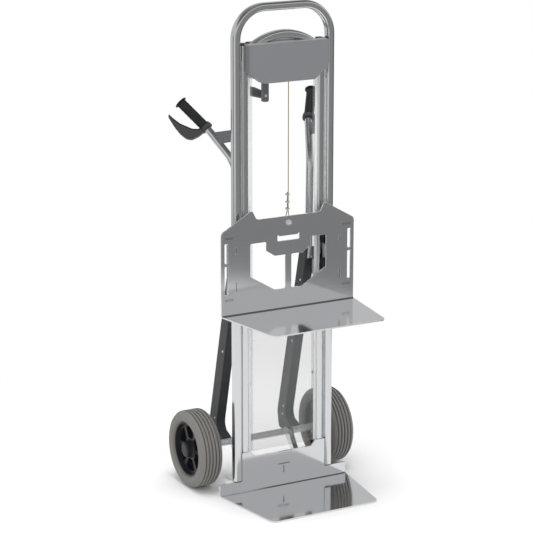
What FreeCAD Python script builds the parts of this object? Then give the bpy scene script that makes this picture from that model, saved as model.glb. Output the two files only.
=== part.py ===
import FreeCAD, Part
import math
import os
from types import SimpleNamespace

import Sketcher
from FreeCAD import Placement, Rotation, Vector

# Lifting sack truck: a wheeled upright frame with a winch-driven lifting platform.
# Frame of the model: +Z up, floor at Z = 0, X = 0 on the truck's centre plane,
# Y = 0 on the front face of the toe plate's upstand, plates to -Y, wheels and handles to +Y.

# Driving dimensions in millimetres: name, value, meaning
SIZES = (
    ("overall_height", 1627.0, "floor to top of the hoop"),
    ("wheel_diameter", 260.0, "tyre outside diameter"),
    ("wheel_width", 85.0, "tyre width"),
    ("wheel_track", 505.5, "distance between the wheels' middles"),
    ("axle_back", 154.6, "axle behind the upstand's face"),
    ("axle_diameter", 24.0, "axle between the wheels"),
    ("journal_diameter", 20.0, "axle inside the wheels"),
    ("rim_diameter", 182.0, "rim across its flange"),
    ("hub_diameter", 52.0, "rim hub"),
    ("bearing_diameter", 42.0, "ball bearing outside"),
    ("bearing_width", 12.0, "ball bearing width"),
    ("toe_heel_width", 481.5, "toe plate width at the upstand"),
    ("toe_tip_width", 397.0, "toe plate width at the front"),
    ("toe_depth", 285.1, "toe plate from upstand to front edge"),
    ("toe_thickness", 5.0, "toe plate and upstand thickness"),
    ("toe_corner", 26.0, "toe plate front corner radius"),
    ("strip_height", 43.0, "full-width low part of the upstand"),
    ("tab_recess", 1.2, "welded tabs behind the plates' faces"),
    ("upstand_gap", 0.9, "raised middle of the upstand to the hoop's legs"),
    ("shoulder_height", 141.0, "upstand height under the inner rails"),
    ("shoulder_inner", 122.0, "half width where the shoulders start"),
    ("saddle_height", 123.0, "upstand height between the shoulders"),
    ("saddle_inner", 106.0, "half width of the level middle edge"),
    ("post_spacing", 343.0, "distance between the hoop's legs"),
    ("post_width", 26.0, "hoop section across the truck"),
    ("post_depth", 31.0, "hoop section front to back"),
    ("post_corner", 8.0, "hoop section corner radius"),
    ("post_wall", 2.5, "hoop and rail wall"),
    ("post_back", 11.4, "hoop's middle behind the upstand's face"),
    ("hoop_bend", 100.0, "hoop bend radius to its middle line"),
    ("rail_spacing", 281.0, "distance between the inner rails"),
    ("rail_width", 24.0, "inner rail across the truck"),
    ("rail_back", 19.0, "inner rail's middle behind the upstand's face"),
    ("rail_drop", 130.3, "hoop's top above the inner rails under their caps"),
    ("fin_reach", 17.4, "inward fin of the inner rail"),
    ("fin_thickness", 3.0, "fin thickness"),
    ("fin_back", 12.0, "fin's middle behind the upstand's face"),
    ("fin_drop", 179.6, "hoop's top above the fins"),
    ("bow_radius", 185.5, "top bow radius to its middle line"),
    ("bow_drop", 89.9, "hoop's top above the bow"),
    ("bow_back", 13.0, "bow's middle behind the upstand's face"),
    ("platform_height", 630.0, "lifting platform top at rest"),
    ("platform_heel_width", 493.5, "platform width at the backplate"),
    ("platform_tip_width", 410.5, "platform width at the front"),
    ("platform_depth", 276.6, "platform from backplate to front edge"),
    ("platform_thickness", 4.0, "platform and backplate thickness"),
    ("platform_lead", 28.8, "backplate's face ahead of the upstand's face"),
    ("platform_bend", 5.0, "inside bend radius of the platform"),
    ("backplate_side", 274.5, "straight side of the backplate above the platform"),
    ("backplate_peak", 335.6, "horns of the backplate above the platform"),
    ("backplate_edge", 307.0, "middle top edge above the platform"),
    ("horn_half", 138.5, "middle of each horn from the centre"),
    ("window_half", 141.0, "outer side of the windows from the centre"),
    ("window_top", 229.0, "window top above the platform"),
    ("window_bottom", 65.6, "window bottom above the platform"),
    ("hand_slot_width", 82.0, "hand slot in the backplate"),
    ("hand_slot_height", 16.0, "clear height of the hand slot"),
    ("hand_slot_rise", 234.0, "middle of the hand slot above the platform"),
    ("strap_slot_half", 228.5, "strap slots from the centre"),
    ("gusset_reach", 36.0, "webs outside the carriage's side plates"),
    ("eye_rise", 284.5, "eye bolt above the platform"),
    ("lower_shoe_rise", 116.0, "lower slide shoes above the platform"),
    ("upper_shoe_rise", 212.0, "upper slide shoes above the platform"),
    ("bar_width", 21.5, "bar between the windows"),
    ("cover_width", 287.0, "winch cover width"),
    ("cover_drop", 124.2, "hoop's top above the winch cover"),
    ("cover_side_height", 88.0, "straight side of the winch cover"),
    ("cover_height", 126.5, "winch cover from top to bottom"),
    ("cover_bottom_half", 93.0, "half width of the cover's lower edge"),
    ("cover_lead", 32.9, "cover's face ahead of the upstand's face"),
    ("cover_wall", 2.0, "sheet of the winch cover"),
    ("drum_offset", 22.0, "drum and crank axis left of the centre"),
    ("drum_drop", 211.0, "hoop's top above the drum axis"),
    ("drum_radius", 26.5, "drum barrel radius"),
    ("rope_diameter", 3.0, "steel rope"),
    ("rope_lead", 15.0, "rope ahead of the upstand's face"),
    ("gear_module", 2.0, "tooth module of the winch gears"),
    ("gear_teeth", 34.0, "teeth of the drum gear"),
    ("pinion_teeth", 12.0, "teeth of the crank pinion"),
    ("gear_width", 6.0, "drum gear width"),
    ("crank_radius", 148.0, "crank shaft to crank grip"),
    ("crank_back", 84.0, "front face of the crank arm"),
    ("crank_grip_length", 96.0, "revolving crank grip"),
    ("handle_diameter", 25.0, "handle tube"),
    ("handle_wall", 2.0, "handle tube wall"),
    ("handle_knee_height", 1097.0, "bend of the handles above the rear legs"),
    ("grip_height", 1213.0, "lower end of the hand grips above the floor"),
    ("grip_half", 194.5, "lower end of the hand grips from the centre"),
    ("grip_back", 181.0, "lower end of the hand grips behind the upstand's face"),
    ("bracket_height", 1205.0, "middle of the handle brackets above the floor"),
    ("grip_length", 115.0, "hand grip"),
    ("grip_diameter", 33.0, "hand grip outside"),
    ("skid_width", 33.0, "rear leg across the truck"),
    ("skid_spacing", 266.0, "distance between the rear legs"),
    ("skid_depth", 53.0, "rear leg front to back"),
    ("skid_wall", 3.0, "rear leg sheet"),
    ("skid_top_height", 796.0, "top of the rear legs"),
    ("skid_knee_rise", 53.3, "bend of the rear legs above the axle"),
    ("skid_knee_back", 46.4, "front of the rear legs' bend behind the axle"),
    ("skid_top_back", 20.5, "front of the rear legs' tops behind the inner rails"),
    ("panel_thickness", 3.0, "clear guard panel"),
    ("panel_top", 615.6, "top of the guard panel"),
    ("panel_bottom", 137.2, "bottom of the guard panel"),
    ("shoe_clearance", 0.4, "slide shoe to post"),
    ("guide_strip_sheet", 1.5, "wear strips on the posts"),
    ("seat_gap", 0.3, "gap where a piece stands on another"),
    ("bolt_diameter", 8.0, "frame bolts"),
    ("screw_diameter", 5.0, "panel and shoe screws"),
)

doc = FreeCAD.newDocument("lifting_sack_truck")
sheet = doc.addObject("Spreadsheet::Sheet", "Sizes")
for row, (alias, value, meaning) in enumerate(SIZES, start=1):
    sheet.set(f"A{row}", meaning)
    sheet.set(f"B{row}", str(value))
    sheet.setAlias(f"B{row}", alias)
doc.recompute()
S = SimpleNamespace(**{alias: float(sheet.get(alias)) for alias, _, _ in SIZES})

LEFT, RIGHT = -1, 1
SIDES = ((LEFT, "left"), (RIGHT, "right"))
nodes = []


# Outlines and paths


def corner_arc(before, corner, after, radius):
    """Start, middle and end of the tangent arc that rounds one corner."""
    back = (before - corner).normalize()
    on = (after - corner).normalize()
    half = back.getAngle(on) / 2
    reach = radius / math.tan(half)
    inward = (back + on).normalize()
    middle = corner + inward * (radius / math.sin(half) - radius)
    return corner + back * reach, middle, corner + on * reach


def rounded(points, radii, closed=True):
    """Straight runs joined by tangent arcs, as curves for a sketch, a wire or a path."""
    corners = [Vector(*point) for point in points]
    count = len(corners)
    if not isinstance(radii, (list, tuple)):
        radii = [radii] * count
    stops = []
    for index, corner in enumerate(corners):
        inside = closed or 0 < index < count - 1
        if inside and radii[index] > 0:
            stops.append(corner_arc(corners[index - 1], corner, corners[(index + 1) % count], radii[index]))
        else:
            stops.append((corner, None, corner))
    curves = []
    for index, (start, middle, end) in enumerate(stops):
        if middle is not None:
            curves.append(Part.Arc(start, middle, end))
        if closed or index < count - 1:
            following = stops[(index + 1) % count][0]
            if end.distanceToPoint(following) > 1e-6:
                curves.append(Part.LineSegment(end, following))
    return curves


def block(width, height, radius, x=0.0, y=0.0):
    """Curves of a rectangle with rounded corners about a middle point."""
    points = [
        (x - width / 2, y - height / 2, 0),
        (x + width / 2, y - height / 2, 0),
        (x + width / 2, y + height / 2, 0),
        (x - width / 2, y + height / 2, 0),
    ]
    return rounded(points, radius)


def disc(radius, x=0.0, y=0.0):
    """Curve of a circle in a sketch's plane."""
    return [Part.Circle(Vector(x, y, 0), Vector(0, 0, 1), radius)]


def wire(curves):
    """One wire from a list of curves."""
    return Part.Wire([curve.toShape() for curve in curves])


# Features


def new_body(label):
    """An empty body with its own label."""
    body = doc.addObject("PartDesign::Body", label)
    body.Label = label
    return body


def add_sketch(body, role, curves, offset=Vector(0, 0, 0)):
    """A sketch on one of the body's own origin planes."""
    sketch = body.newObject("Sketcher::SketchObject", f"{body.Name}_outline")
    plane = next(feature for feature in body.Origin.OriginFeatures if feature.Role == role)
    sketch.AttachmentSupport = (plane, [""])
    sketch.MapMode = "FlatFace"
    sketch.AttachmentOffset = Placement(offset, Rotation())
    sketch.addGeometry(curves, False)
    return sketch


def set_size(feature, name, value):
    """Give one size of a feature as a number or as a formula on the sheet."""
    if isinstance(value, str):
        feature.setExpression(name, value)
    else:
        setattr(feature, name, value)


def add_pad(body, sketch, length, backwards=False, symmetric=False):
    """Pad a sketch of the body."""
    feature = body.newObject("PartDesign::Pad", f"{body.Name}_pad")
    feature.Profile = sketch
    set_size(feature, "Length", length)
    feature.Reversed = backwards
    if symmetric:
        feature.SideType = "Symmetric"
    return feature


def add_revolution(body, sketch, axis="H_Axis"):
    """Turn a sketch of the body about one of its own axes."""
    feature = body.newObject("PartDesign::Revolution", f"{body.Name}_turned")
    feature.Profile = sketch
    feature.ReferenceAxis = (sketch, [axis])
    feature.Angle = 360.0
    return feature


def across(label, curves, width, middle=0.0):
    """A profile in the Y-Z plane that runs across the truck, half its width to each side of its middle."""
    body = new_body(label)
    sketch = add_sketch(body, "YZ_Plane", curves, Vector(0, 0, middle))
    add_pad(body, sketch, width, symmetric=True)
    return body


def upright(label, curves, front, thickness):
    """A plate in the X-Z plane from its front face backwards."""
    body = new_body(label)
    sketch = add_sketch(body, "XZ_Plane", curves, Vector(0, 0, -front))
    add_pad(body, sketch, thickness, backwards=True)
    return body


def level(label, curves, bottom, height):
    """An outline in the X-Y plane raised from its bottom."""
    body = new_body(label)
    sketch = add_sketch(body, "XY_Plane", curves, Vector(0, 0, bottom))
    add_pad(body, sketch, height)
    return body


def turned(label, profile, base, direction):
    """A solid of revolution whose profile is (along, radius) and whose axis starts at base."""
    body = new_body(label)
    sketch = add_sketch(body, "XZ_Plane", profile)
    add_revolution(body, sketch)
    body.Placement = Placement(base, Rotation(Vector(1, 0, 0), direction))
    return body


def profile(*points, radii=0.0):
    """A closed turning profile from (along, radius) points."""
    return rounded([(along, radius, 0) for along, radius in points], radii)


def pin(label, radius, base, direction, length):
    """A round pin or drill from base along a direction."""
    cylinder = doc.addObject("Part::Cylinder", label)
    set_size(cylinder, "Radius", radius)
    set_size(cylinder, "Height", length)
    cylinder.Placement = Placement(base, Rotation(Vector(0, 0, 1), direction))
    return cylinder


def box(label, low, high):
    """A plain block between two corners."""
    shape = doc.addObject("Part::Box", label)
    shape.Length = high[0] - low[0]
    shape.Width = high[1] - low[1]
    shape.Height = high[2] - low[2]
    shape.Placement.Base = Vector(*low)
    return shape


def cut(label, base, tools):
    """The base with every tool taken away."""
    result = doc.addObject("Part::Cut", label)
    result.Base = base
    result.Tool = group(f"{label}_tools", tools) if len(tools) > 1 else tools[0]
    return result


def fuse(label, pieces):
    """Several shapes joined into one solid."""
    result = doc.addObject("Part::MultiFuse", label)
    result.Shapes = pieces
    return result


def common(label, base, tool):
    """What two shapes share."""
    result = doc.addObject("Part::Common", label)
    result.Base = base
    result.Tool = tool
    return result


def group(label, pieces):
    """Separate solids kept together under one name."""
    result = doc.addObject("Part::Compound", label)
    result.Links = pieces
    return result


def mirrored(label, source):
    """The same piece on the other side of the centre plane."""
    result = doc.addObject("Part::Mirroring", label)
    result.Source = source
    result.Normal = Vector(1, 0, 0)
    return result


def pair(label, right_piece):
    """A right-hand piece and its mirror image as one node."""
    return group(label, [right_piece, mirrored(f"{label}_mirror", right_piece)])


def node(label, feature):
    """Name a finished sub-part."""
    feature.Label = label
    nodes.append((label, feature))
    return feature


def hex_bolt(label, diameter, face, direction, grip):
    """A hexagon bolt whose head seats on a face; direction points from the head to the tip."""
    head_height = 0.65 * diameter
    across_corners = 1.6 * diameter * 2 / math.sqrt(3)
    head = doc.addObject("Part::Prism", f"{label}_head")
    head.Polygon = 6
    head.Circumradius = across_corners / 2
    head.Height = head_height
    head.Placement = Placement(face - direction * head_height, Rotation(Vector(0, 0, 1), direction))
    shank = pin(f"{label}_shank", diameter / 2, face - direction * head_height / 2, direction,
                head_height / 2 + grip)
    return fuse(label, [head, shank])


def pan_screw(label, diameter, face, direction, grip):
    """A pan-head screw whose head seats on a face; direction points from the head to the tip."""
    head = 0.55 * diameter
    outline = profile((-head, 0), (-head, 0.7 * diameter), (0, diameter), (0, diameter / 2),
                      (grip, diameter / 2), (grip, 0))
    return turned(label, outline, face, direction)


# Shared places worked out from the driving dimensions

X_AXIS, Y_AXIS, Z_AXIS = Vector(1, 0, 0), Vector(0, 1, 0), Vector(0, 0, 1)
post_x = S.post_spacing / 2
rail_x = S.rail_spacing / 2
axle_z = S.wheel_diameter / 2
hoop_middle_top = S.overall_height - S.post_width / 2
foot_plug = 3.0
rail_side = rail_x - S.rail_width / 2
post_inner = post_x - S.post_width / 2
post_outer = post_x + S.post_width / 2
post_front = S.post_back - S.post_depth / 2
post_rear = S.post_back + S.post_depth / 2
rail_front = S.rail_back - S.post_depth / 2
rail_rear = S.rail_back + S.post_depth / 2
fin_front = S.fin_back - S.fin_thickness / 2
fin_rear = S.fin_back + S.fin_thickness / 2
rail_top = S.overall_height - S.rail_drop
fin_top = S.overall_height - S.fin_drop
bow_top = S.overall_height - S.bow_drop
cover_top = S.overall_height - S.cover_drop
cover_side = cover_top - S.cover_side_height
cover_bottom = cover_top - S.cover_height
drum_height = S.overall_height - S.drum_drop
bolt_hole = S.bolt_diameter / 2 + 0.3
screw_hole = S.screw_diameter / 2 + 0.3


def tube_section(width, wall, x, y):
    """Outer or inner outline of a post or rail section; wall is 0 for the outside."""
    return block(width - 2 * wall, S.post_depth - 2 * wall, S.post_corner - wall, x, y)


# Hoop, rails and bow


def make_hoop():
    """The outer tube: two legs and a rounded top, bent from one length."""
    foot = S.strip_height + S.seat_gap + foot_plug
    body = new_body("outer_hoop")
    route = [
        (-post_x, foot, 0),
        (-post_x, hoop_middle_top, 0),
        (post_x, hoop_middle_top, 0),
        (post_x, foot, 0),
    ]
    curves = rounded(route, S.hoop_bend, closed=False)
    path = add_sketch(body, "XZ_Plane", curves, Vector(0, 0, -S.post_back))
    spans = [f"Edge{number}" for number in range(1, len(curves) + 1)]
    for wall, kind in ((0.0, "PartDesign::AdditivePipe"), (S.post_wall, "PartDesign::SubtractivePipe")):
        section = tube_section(S.post_width, wall, -post_x, S.post_back)
        sketch = add_sketch(body, "XY_Plane", section, Vector(0, 0, foot))
        pipe = body.newObject(kind, f"hoop_pipe_{int(wall > 0)}")
        pipe.Profile = sketch
        pipe.Spine = (path, spans)
        doc.recompute()
    return node("outer_hoop", body)


def bracket_bolt_heights():
    """Heights of the bolts that hold a handle bracket to its rail."""
    return (S.bracket_height - 10, S.bracket_height + 10)


def skid_bolt_places():
    """Y and Z of the bolts that hold a rear leg to its bracket, and of the one through the handle."""
    return [(skid_top.x + 34, skid_top.y - 78), (skid_top.x + 34, skid_top.y - 52),
            (skid_top.x + 22, skid_top.y - 16)]


def winch_bolt_places():
    """Right-hand places, X and Z, of the bolts that hold the winch plate to the fins."""
    return [(rail_side - S.fin_reach / 2, height) for height in (drum_height - 4, drum_height + 20)]


def panel_screw_places():
    """Right-hand places, X and Z, of the guard panel's screws."""
    middle = (S.panel_bottom + S.panel_top) / 2
    return [(rail_side - S.fin_reach / 2, height)
            for height in (S.panel_bottom + 30, middle, S.panel_top - 30)]


def make_rail(side, name):
    """One inner rail: an extruded tube with an inward fin, on the upstand's shoulder."""
    foot = S.shoulder_height + S.seat_gap
    body = new_body(f"rail_{name}_blank")
    section = tube_section(S.rail_width, 0.0, side * rail_x, S.rail_back)
    hollow = tube_section(S.rail_width, S.post_wall, side * rail_x, S.rail_back)
    above_foot = "Sizes.overall_height - Sizes.{} - Sizes.shoulder_height - Sizes.seat_gap"
    add_pad(body, add_sketch(body, "XY_Plane", section + hollow, Vector(0, 0, foot)),
            above_foot.format("rail_drop"))
    overlap = 1.0
    fin = block(
        S.fin_reach + overlap,
        S.fin_thickness,
        0.0,
        side * (rail_side - (S.fin_reach - overlap) / 2),
        S.fin_back,
    )
    add_pad(body, add_sketch(body, "XY_Plane", fin, Vector(0, 0, foot)), above_foot.format("fin_drop"))
    drills = []
    for height in bracket_bolt_heights():
        place = Vector(side * rail_x, rail_rear - 2 * S.post_wall, height)
        drills.append(pin(f"rail_{name}_drill", bolt_hole, place, Y_AXIS, 3 * S.post_wall))
    for x, z in winch_bolt_places():
        drills.append(pin(f"rail_{name}_drill", bolt_hole, Vector(side * x, fin_front - 1, z), Y_AXIS,
                          S.fin_thickness + 2))
    for x, z in panel_screw_places():
        drills.append(pin(f"rail_{name}_drill", screw_hole, Vector(side * x, fin_front - 1, z), Y_AXIS,
                          S.fin_thickness + 2))
    return node(f"inner_rail_{name}", cut(f"inner_rail_{name}", body, drills))


def make_tube_caps():
    """Plastic caps on the inner rails' tops and plugs under the hoop's legs."""
    cap_height = 5.0
    plug_length = 14.0
    fit = 0.15
    pieces = []
    stations = (
        ("rail", rail_x, S.rail_back, S.rail_width, rail_top, cap_height, LEFT),
        ("post", post_x, S.post_back, S.post_width, S.strip_height + S.seat_gap, foot_plug, RIGHT),
    )
    for name, x, y, width, bottom, height, plug_side in stations:
        lid = level(f"{name}_lid", tube_section(width, 0.0, x, y), bottom, height)
        plug_bottom = bottom + height if plug_side == RIGHT else bottom - plug_length
        plug = level(f"{name}_plug", tube_section(width, S.post_wall + fit, x, y), plug_bottom, plug_length)
        cap = fuse(f"{name}_cap", [lid, plug])
        pieces += [cap, mirrored(f"{name}_cap_mirror", cap)]
    return node("tube_caps", group("tube_caps", pieces))


def make_bow():
    """The arched tube between the inner rails behind the winch cover."""
    outer_radius = S.bow_radius + S.post_width / 2
    middle_z = bow_top - outer_radius
    ring = new_body("bow_ring")
    section = []
    for wall in (0.0, S.post_wall):
        section += block(
            S.post_depth - 2 * wall, S.post_width - 2 * wall, S.post_corner - wall, S.bow_back, S.bow_radius
        )
    sketch = add_sketch(ring, "YZ_Plane", section, Vector(0, middle_z, 0))
    add_revolution(ring, sketch)
    half_span = rail_side - S.seat_gap
    window = box("bow_span", (-half_span, -100, middle_z + 20), (half_span, 100, bow_top + 10))
    return node("top_bow", common("top_bow", ring, window))


def make_guide_strips():
    """Wear strips on the inward sides of the hoop's legs."""
    depth = 10.0
    low = (post_inner - S.guide_strip_sheet, S.post_back + 7.4 - depth, S.strip_height + 100)
    high = (post_inner, S.post_back + 7.4, cover_bottom - 8)
    return node("guide_strips", pair("guide_strips", box("guide_strip", low, high)))


# Toe plate and base


def make_toe_plate():
    """The fixed bottom plate: tapered floor plate with a stepped upstand."""
    body = new_body("toe_blank")
    heel, tip = S.toe_heel_width / 2, S.toe_tip_width / 2
    floor = rounded(
        [(-heel, S.toe_thickness, 0), (-heel, 0, 0), (-tip, -S.toe_depth, 0),
         (tip, -S.toe_depth, 0), (heel, 0, 0), (heel, S.toe_thickness, 0)],
        [0, 0, S.toe_corner, S.toe_corner, 0, 0],
    )
    add_pad(body, add_sketch(body, "XY_Plane", floor), "Sizes.toe_thickness")
    middle = post_inner - S.upstand_gap
    upstand = rounded(
        [(-heel, 0, 0), (heel, 0, 0), (heel, S.strip_height, 0), (middle, S.strip_height, 0),
         (middle, S.shoulder_height, 0), (S.shoulder_inner, S.shoulder_height, 0),
         (S.saddle_inner, S.saddle_height, 0), (-S.saddle_inner, S.saddle_height, 0),
         (-S.shoulder_inner, S.shoulder_height, 0), (-middle, S.shoulder_height, 0),
         (-middle, S.strip_height, 0), (-heel, S.strip_height, 0)],
        [0, 0, 3, 2, 3, 5, 5, 5, 5, 3, 2, 3],
    )
    slots = block(rib_slot_width(), rib_sheet() + 0.4, 0.0, 0.0, rib_shelf_height() + rib_sheet() / 2)
    slots += block(rib_sheet() + 0.4, rib_slot_height(), 0.0, 0.0, 60.0)
    add_pad(body, add_sketch(body, "XZ_Plane", upstand + slots), "Sizes.toe_thickness", backwards=True)
    weld = 4.0
    seam = [
        Part.LineSegment(Vector(0, S.toe_thickness - 1, 0), Vector(0, S.toe_thickness + weld, 0)),
        Part.Arc(
            Vector(0, S.toe_thickness + weld, 0),
            Vector(-weld * (1 - math.sqrt(0.5)), S.toe_thickness + weld * (1 - math.sqrt(0.5)), 0),
            Vector(-weld, S.toe_thickness, 0),
        ),
        Part.LineSegment(Vector(-weld, S.toe_thickness, 0), Vector(-weld, S.toe_thickness - 1, 0)),
        Part.LineSegment(Vector(-weld, S.toe_thickness - 1, 0), Vector(0, S.toe_thickness - 1, 0)),
    ]
    add_pad(body, add_sketch(body, "YZ_Plane", seam), S.toe_heel_width - 3, symmetric=True)
    return node("toe_plate", body)


def rib_sheet():
    """Sheet thickness of the ribs behind the toe plate."""
    return 4.0


def rib_shelf_height():
    """Underside of the level rib."""
    return 78.0


def rib_slot_width():
    """Length of the level rib's tab in the upstand."""
    return 43.4


def rib_slot_height():
    """Length of the upright rib's tab in the upstand."""
    return 24.4


def make_toe_ribs():
    """A level and an upright rib behind the upstand, each tabbed through it."""
    tab = rib_slot_height() / 2 - 0.2
    back = 60.0
    web_bottom = S.strip_height
    web_top = rib_shelf_height()
    face, front = S.toe_thickness, S.tab_recess
    upright_rib = across(
        "upright_rib",
        rounded(
            [(face, web_bottom, 0), (back, web_bottom, 0), (back, web_bottom + 12, 0),
             (face + 22, web_top, 0),
             (face, web_top, 0), (face, 60 + tab, 0), (front, 60 + tab, 0), (front, 60 - tab, 0),
             (face, 60 - tab, 0)],
            0.0,
        ),
        rib_sheet(),
    )
    half_tab = rib_slot_width() / 2 - 0.2
    level_rib = level(
        "level_rib",
        rounded(
            [(-half_tab, front, 0), (half_tab, front, 0), (half_tab, face, 0), (90, face, 0),
             (60, face + 22, 0),
             (-60, face + 22, 0), (-90, face, 0), (-half_tab, face, 0)],
            0.0,
        ),
        rib_shelf_height(),
        rib_sheet(),
    )
    return node("toe_ribs", group("toe_ribs", [upright_rib, level_rib]))


def make_base_channel():
    """The folded channel behind the toe plate that the posts stand on."""
    front, back = S.toe_thickness, 70.0
    lift, fold = 6.0, 3.0
    outline = rounded(
        [(front, lift, 0), (front + fold, lift, 0), (front + fold, S.strip_height - fold, 0),
         (back - fold, S.strip_height - fold, 0), (back - fold, lift, 0), (back, lift, 0),
         (back, S.strip_height, 0), (front, S.strip_height, 0)],
        [0, 0, 1, 1, 0, 0, 4, 0],
    )
    return node("base_channel", across("base_channel", outline, 2 * (post_outer - 2)))


def make_rail_feet():
    """Spigots that stand on the base channel and carry the inner rails."""
    fit = 0.3
    section = tube_section(S.rail_width, S.post_wall + fit, rail_x, S.rail_back)
    foot = level("rail_foot", section, S.strip_height, 200.0 - S.strip_height)
    return node("rail_feet", pair("rail_feet", foot))


# Axle, wheels and rear legs

wheel_x = S.wheel_track / 2
hub_half = 34.0
bead_gap = 0.2


def make_axle():
    """The axle: a shouldered bar that carries both wheels."""
    shoulder = wheel_x - hub_half - 0.4
    tip = wheel_x + hub_half + 5
    core, journal = S.axle_diameter / 2, S.journal_diameter / 2
    outline = profile(
        (-tip, 0), (-tip, journal - 1), (-tip + 1, journal), (-shoulder, journal), (-shoulder, core),
        (shoulder, core), (shoulder, journal), (tip - 1, journal), (tip, journal - 1), (tip, 0),
    )
    return node("axle", turned("axle", outline, Vector(0, S.axle_back, axle_z), X_AXIS))


def make_axle_retainers():
    """Washers and retaining rings on the axle's ends."""
    journal = S.journal_diameter / 2 + 0.1
    face = hub_half + 0.3
    pieces = []
    for side, name in SIDES:
        base = Vector(side * (wheel_x + face), S.axle_back, axle_z)
        direction = X_AXIS * side
        washer = profile((0, journal), (0, 16), (1.6, 16), (1.6, journal))
        ring = profile((1.9, journal), (1.9, 14), (3.4, 14), (3.4, journal))
        pieces.append(turned(f"washer_{name}", washer, base, direction))
        pieces.append(turned(f"retaining_ring_{name}", ring, base, direction))
    return node("axle_retainers", group("axle_retainers", pieces))


def tyre_profile():
    """Half section of the tyre with its four tread grooves, as (along, radius) points."""
    radius, half = S.wheel_diameter / 2, S.wheel_width / 2
    bead = S.rim_diameter / 2 + 1
    groove, depth = 2.2, 6.0
    outline = [(-half + 11, bead), (-half + 5, bead + 5), (-half, bead + 20), (-half + 4, radius - 8),
               (-half + 13, radius - 1.2)]
    for middle in (-21.0, -7.0, 7.0, 21.0):
        outline += [
            (middle - groove, radius), (middle - groove + 0.8, radius - depth),
            (middle + groove - 0.8, radius - depth), (middle + groove, radius),
        ]
    outline += [(-along, high) for along, high in outline[4::-1]]
    radii = [0, 5, 12, 9, 6] + [0] * 16 + [6, 9, 12, 5, 0]
    return rounded([(along, high, 0) for along, high in outline], radii)


def make_tyre(side, name):
    """A puncture-proof tyre with round shoulders and grooves."""
    body = turned(f"tyre_{name}", tyre_profile(), Vector(side * wheel_x, S.axle_back, axle_z),
                  X_AXIS * side)
    return node(f"tyre_{name}", body)


def make_rim(side, name):
    """A moulded rim: barrel, hub and web with six petal pockets on each side."""
    flange = S.rim_diameter / 2
    hub = S.hub_diameter / 2
    half, wall, web = 31.0, 5.0, 19.0
    seat = S.bearing_diameter / 2 + 0.02
    stop = hub_half - S.bearing_width
    body = new_body(f"rim_{name}")
    outline = rounded(
        [(-hub_half, seat, 0), (-hub_half, hub, 0), (-web - 6, hub + 2, 0), (-web, hub + 6, 0),
         (-web, flange - wall - 2, 0), (-half, flange - wall + 1, 0), (-half, flange, 0),
         (half, flange, 0), (half, flange - wall + 1, 0), (web, flange - wall - 2, 0),
         (web, hub + 6, 0), (web + 6, hub + 2, 0), (hub_half, hub, 0), (hub_half, seat, 0),
         (stop, seat, 0), (stop, S.journal_diameter / 2 + 2, 0), (-stop, S.journal_diameter / 2 + 2, 0),
         (-stop, seat, 0)],
        0.0,
    )
    add_revolution(body, add_sketch(body, "XZ_Plane", outline))
    inner, outer = hub + 9, flange - wall - 7
    petal = [
        (outer * math.cos(math.radians(angle)), outer * math.sin(math.radians(angle)), 0)
        for angle in (66, 90, 114)
    ]
    petal += [(inner * 0.42, inner * 1.02, 0), (-inner * 0.42, inner * 1.02, 0)]
    petal = [petal[0], petal[1], petal[2], petal[4], petal[3]]
    for face, away in ((web, True), (-web, False)):
        sketch = add_sketch(body, "YZ_Plane", rounded(petal, [9, 30, 9, 6, 6]), Vector(0, 0, face))
        pocket = body.newObject("PartDesign::Pocket", f"rim_{name}_pocket")
        pocket.Profile = sketch
        pocket.Length = web - 3.0
        pocket.Reversed = not away
        doc.recompute()
        pattern = body.newObject("PartDesign::PolarPattern", f"rim_{name}_petals")
        pattern.Originals = [pocket]
        pattern.Axis = (sketch, ["N_Axis"])
        pattern.Angle = 360.0
        pattern.Occurrences = 6
        body.Tip = pattern
        doc.recompute()
    body.Placement = Placement(Vector(side * wheel_x, S.axle_back, axle_z), Rotation(X_AXIS, X_AXIS * side))
    return node(f"rim_{name}", body)


def make_wheel_bearings(side, name):
    """Two ball bearings in the rim's hub."""
    bore = S.journal_diameter / 2 + 0.05
    pieces = []
    for end in (-1, 1):
        start = end * hub_half
        stop = end * (hub_half - S.bearing_width)
        race = profile((start, bore), (start, S.bearing_diameter / 2), (stop, S.bearing_diameter / 2),
                       (stop, bore))
        base = Vector(side * wheel_x, S.axle_back, axle_z)
        pieces.append(turned(f"bearing_{name}_{'in' if end < 0 else 'out'}", race, base, X_AXIS * side))
    return node(f"wheel_bearings_{name}", group(f"wheel_bearings_{name}", pieces))


def make_hub_cap(side, name):
    """The push-on cap over the axle's end."""
    rim_edge = S.hub_diameter / 2
    top = S.wheel_width / 2
    outline = profile(
        (hub_half, rim_edge - 5), (hub_half, rim_edge), (top - 3, rim_edge - 1), (top, rim_edge - 7),
        (top, 0), (top - 2, 0), (top - 2, rim_edge - 8), (top - 4, rim_edge - 5),
        radii=[0, 0, 2, 3, 0, 0, 0, 0],
    )
    base = Vector(side * wheel_x, S.axle_back, axle_z)
    return node(f"hub_cap_{name}", turned(f"hub_cap_{name}", outline, base, X_AXIS * side))


skid_x = S.skid_spacing / 2
skid_knee = Vector(S.axle_back + S.skid_knee_back, axle_z + S.skid_knee_rise, 0)
skid_top = Vector(rail_rear + S.skid_top_back, S.skid_top_height, 0)
skid_bracket_sheet = 4.0


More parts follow.
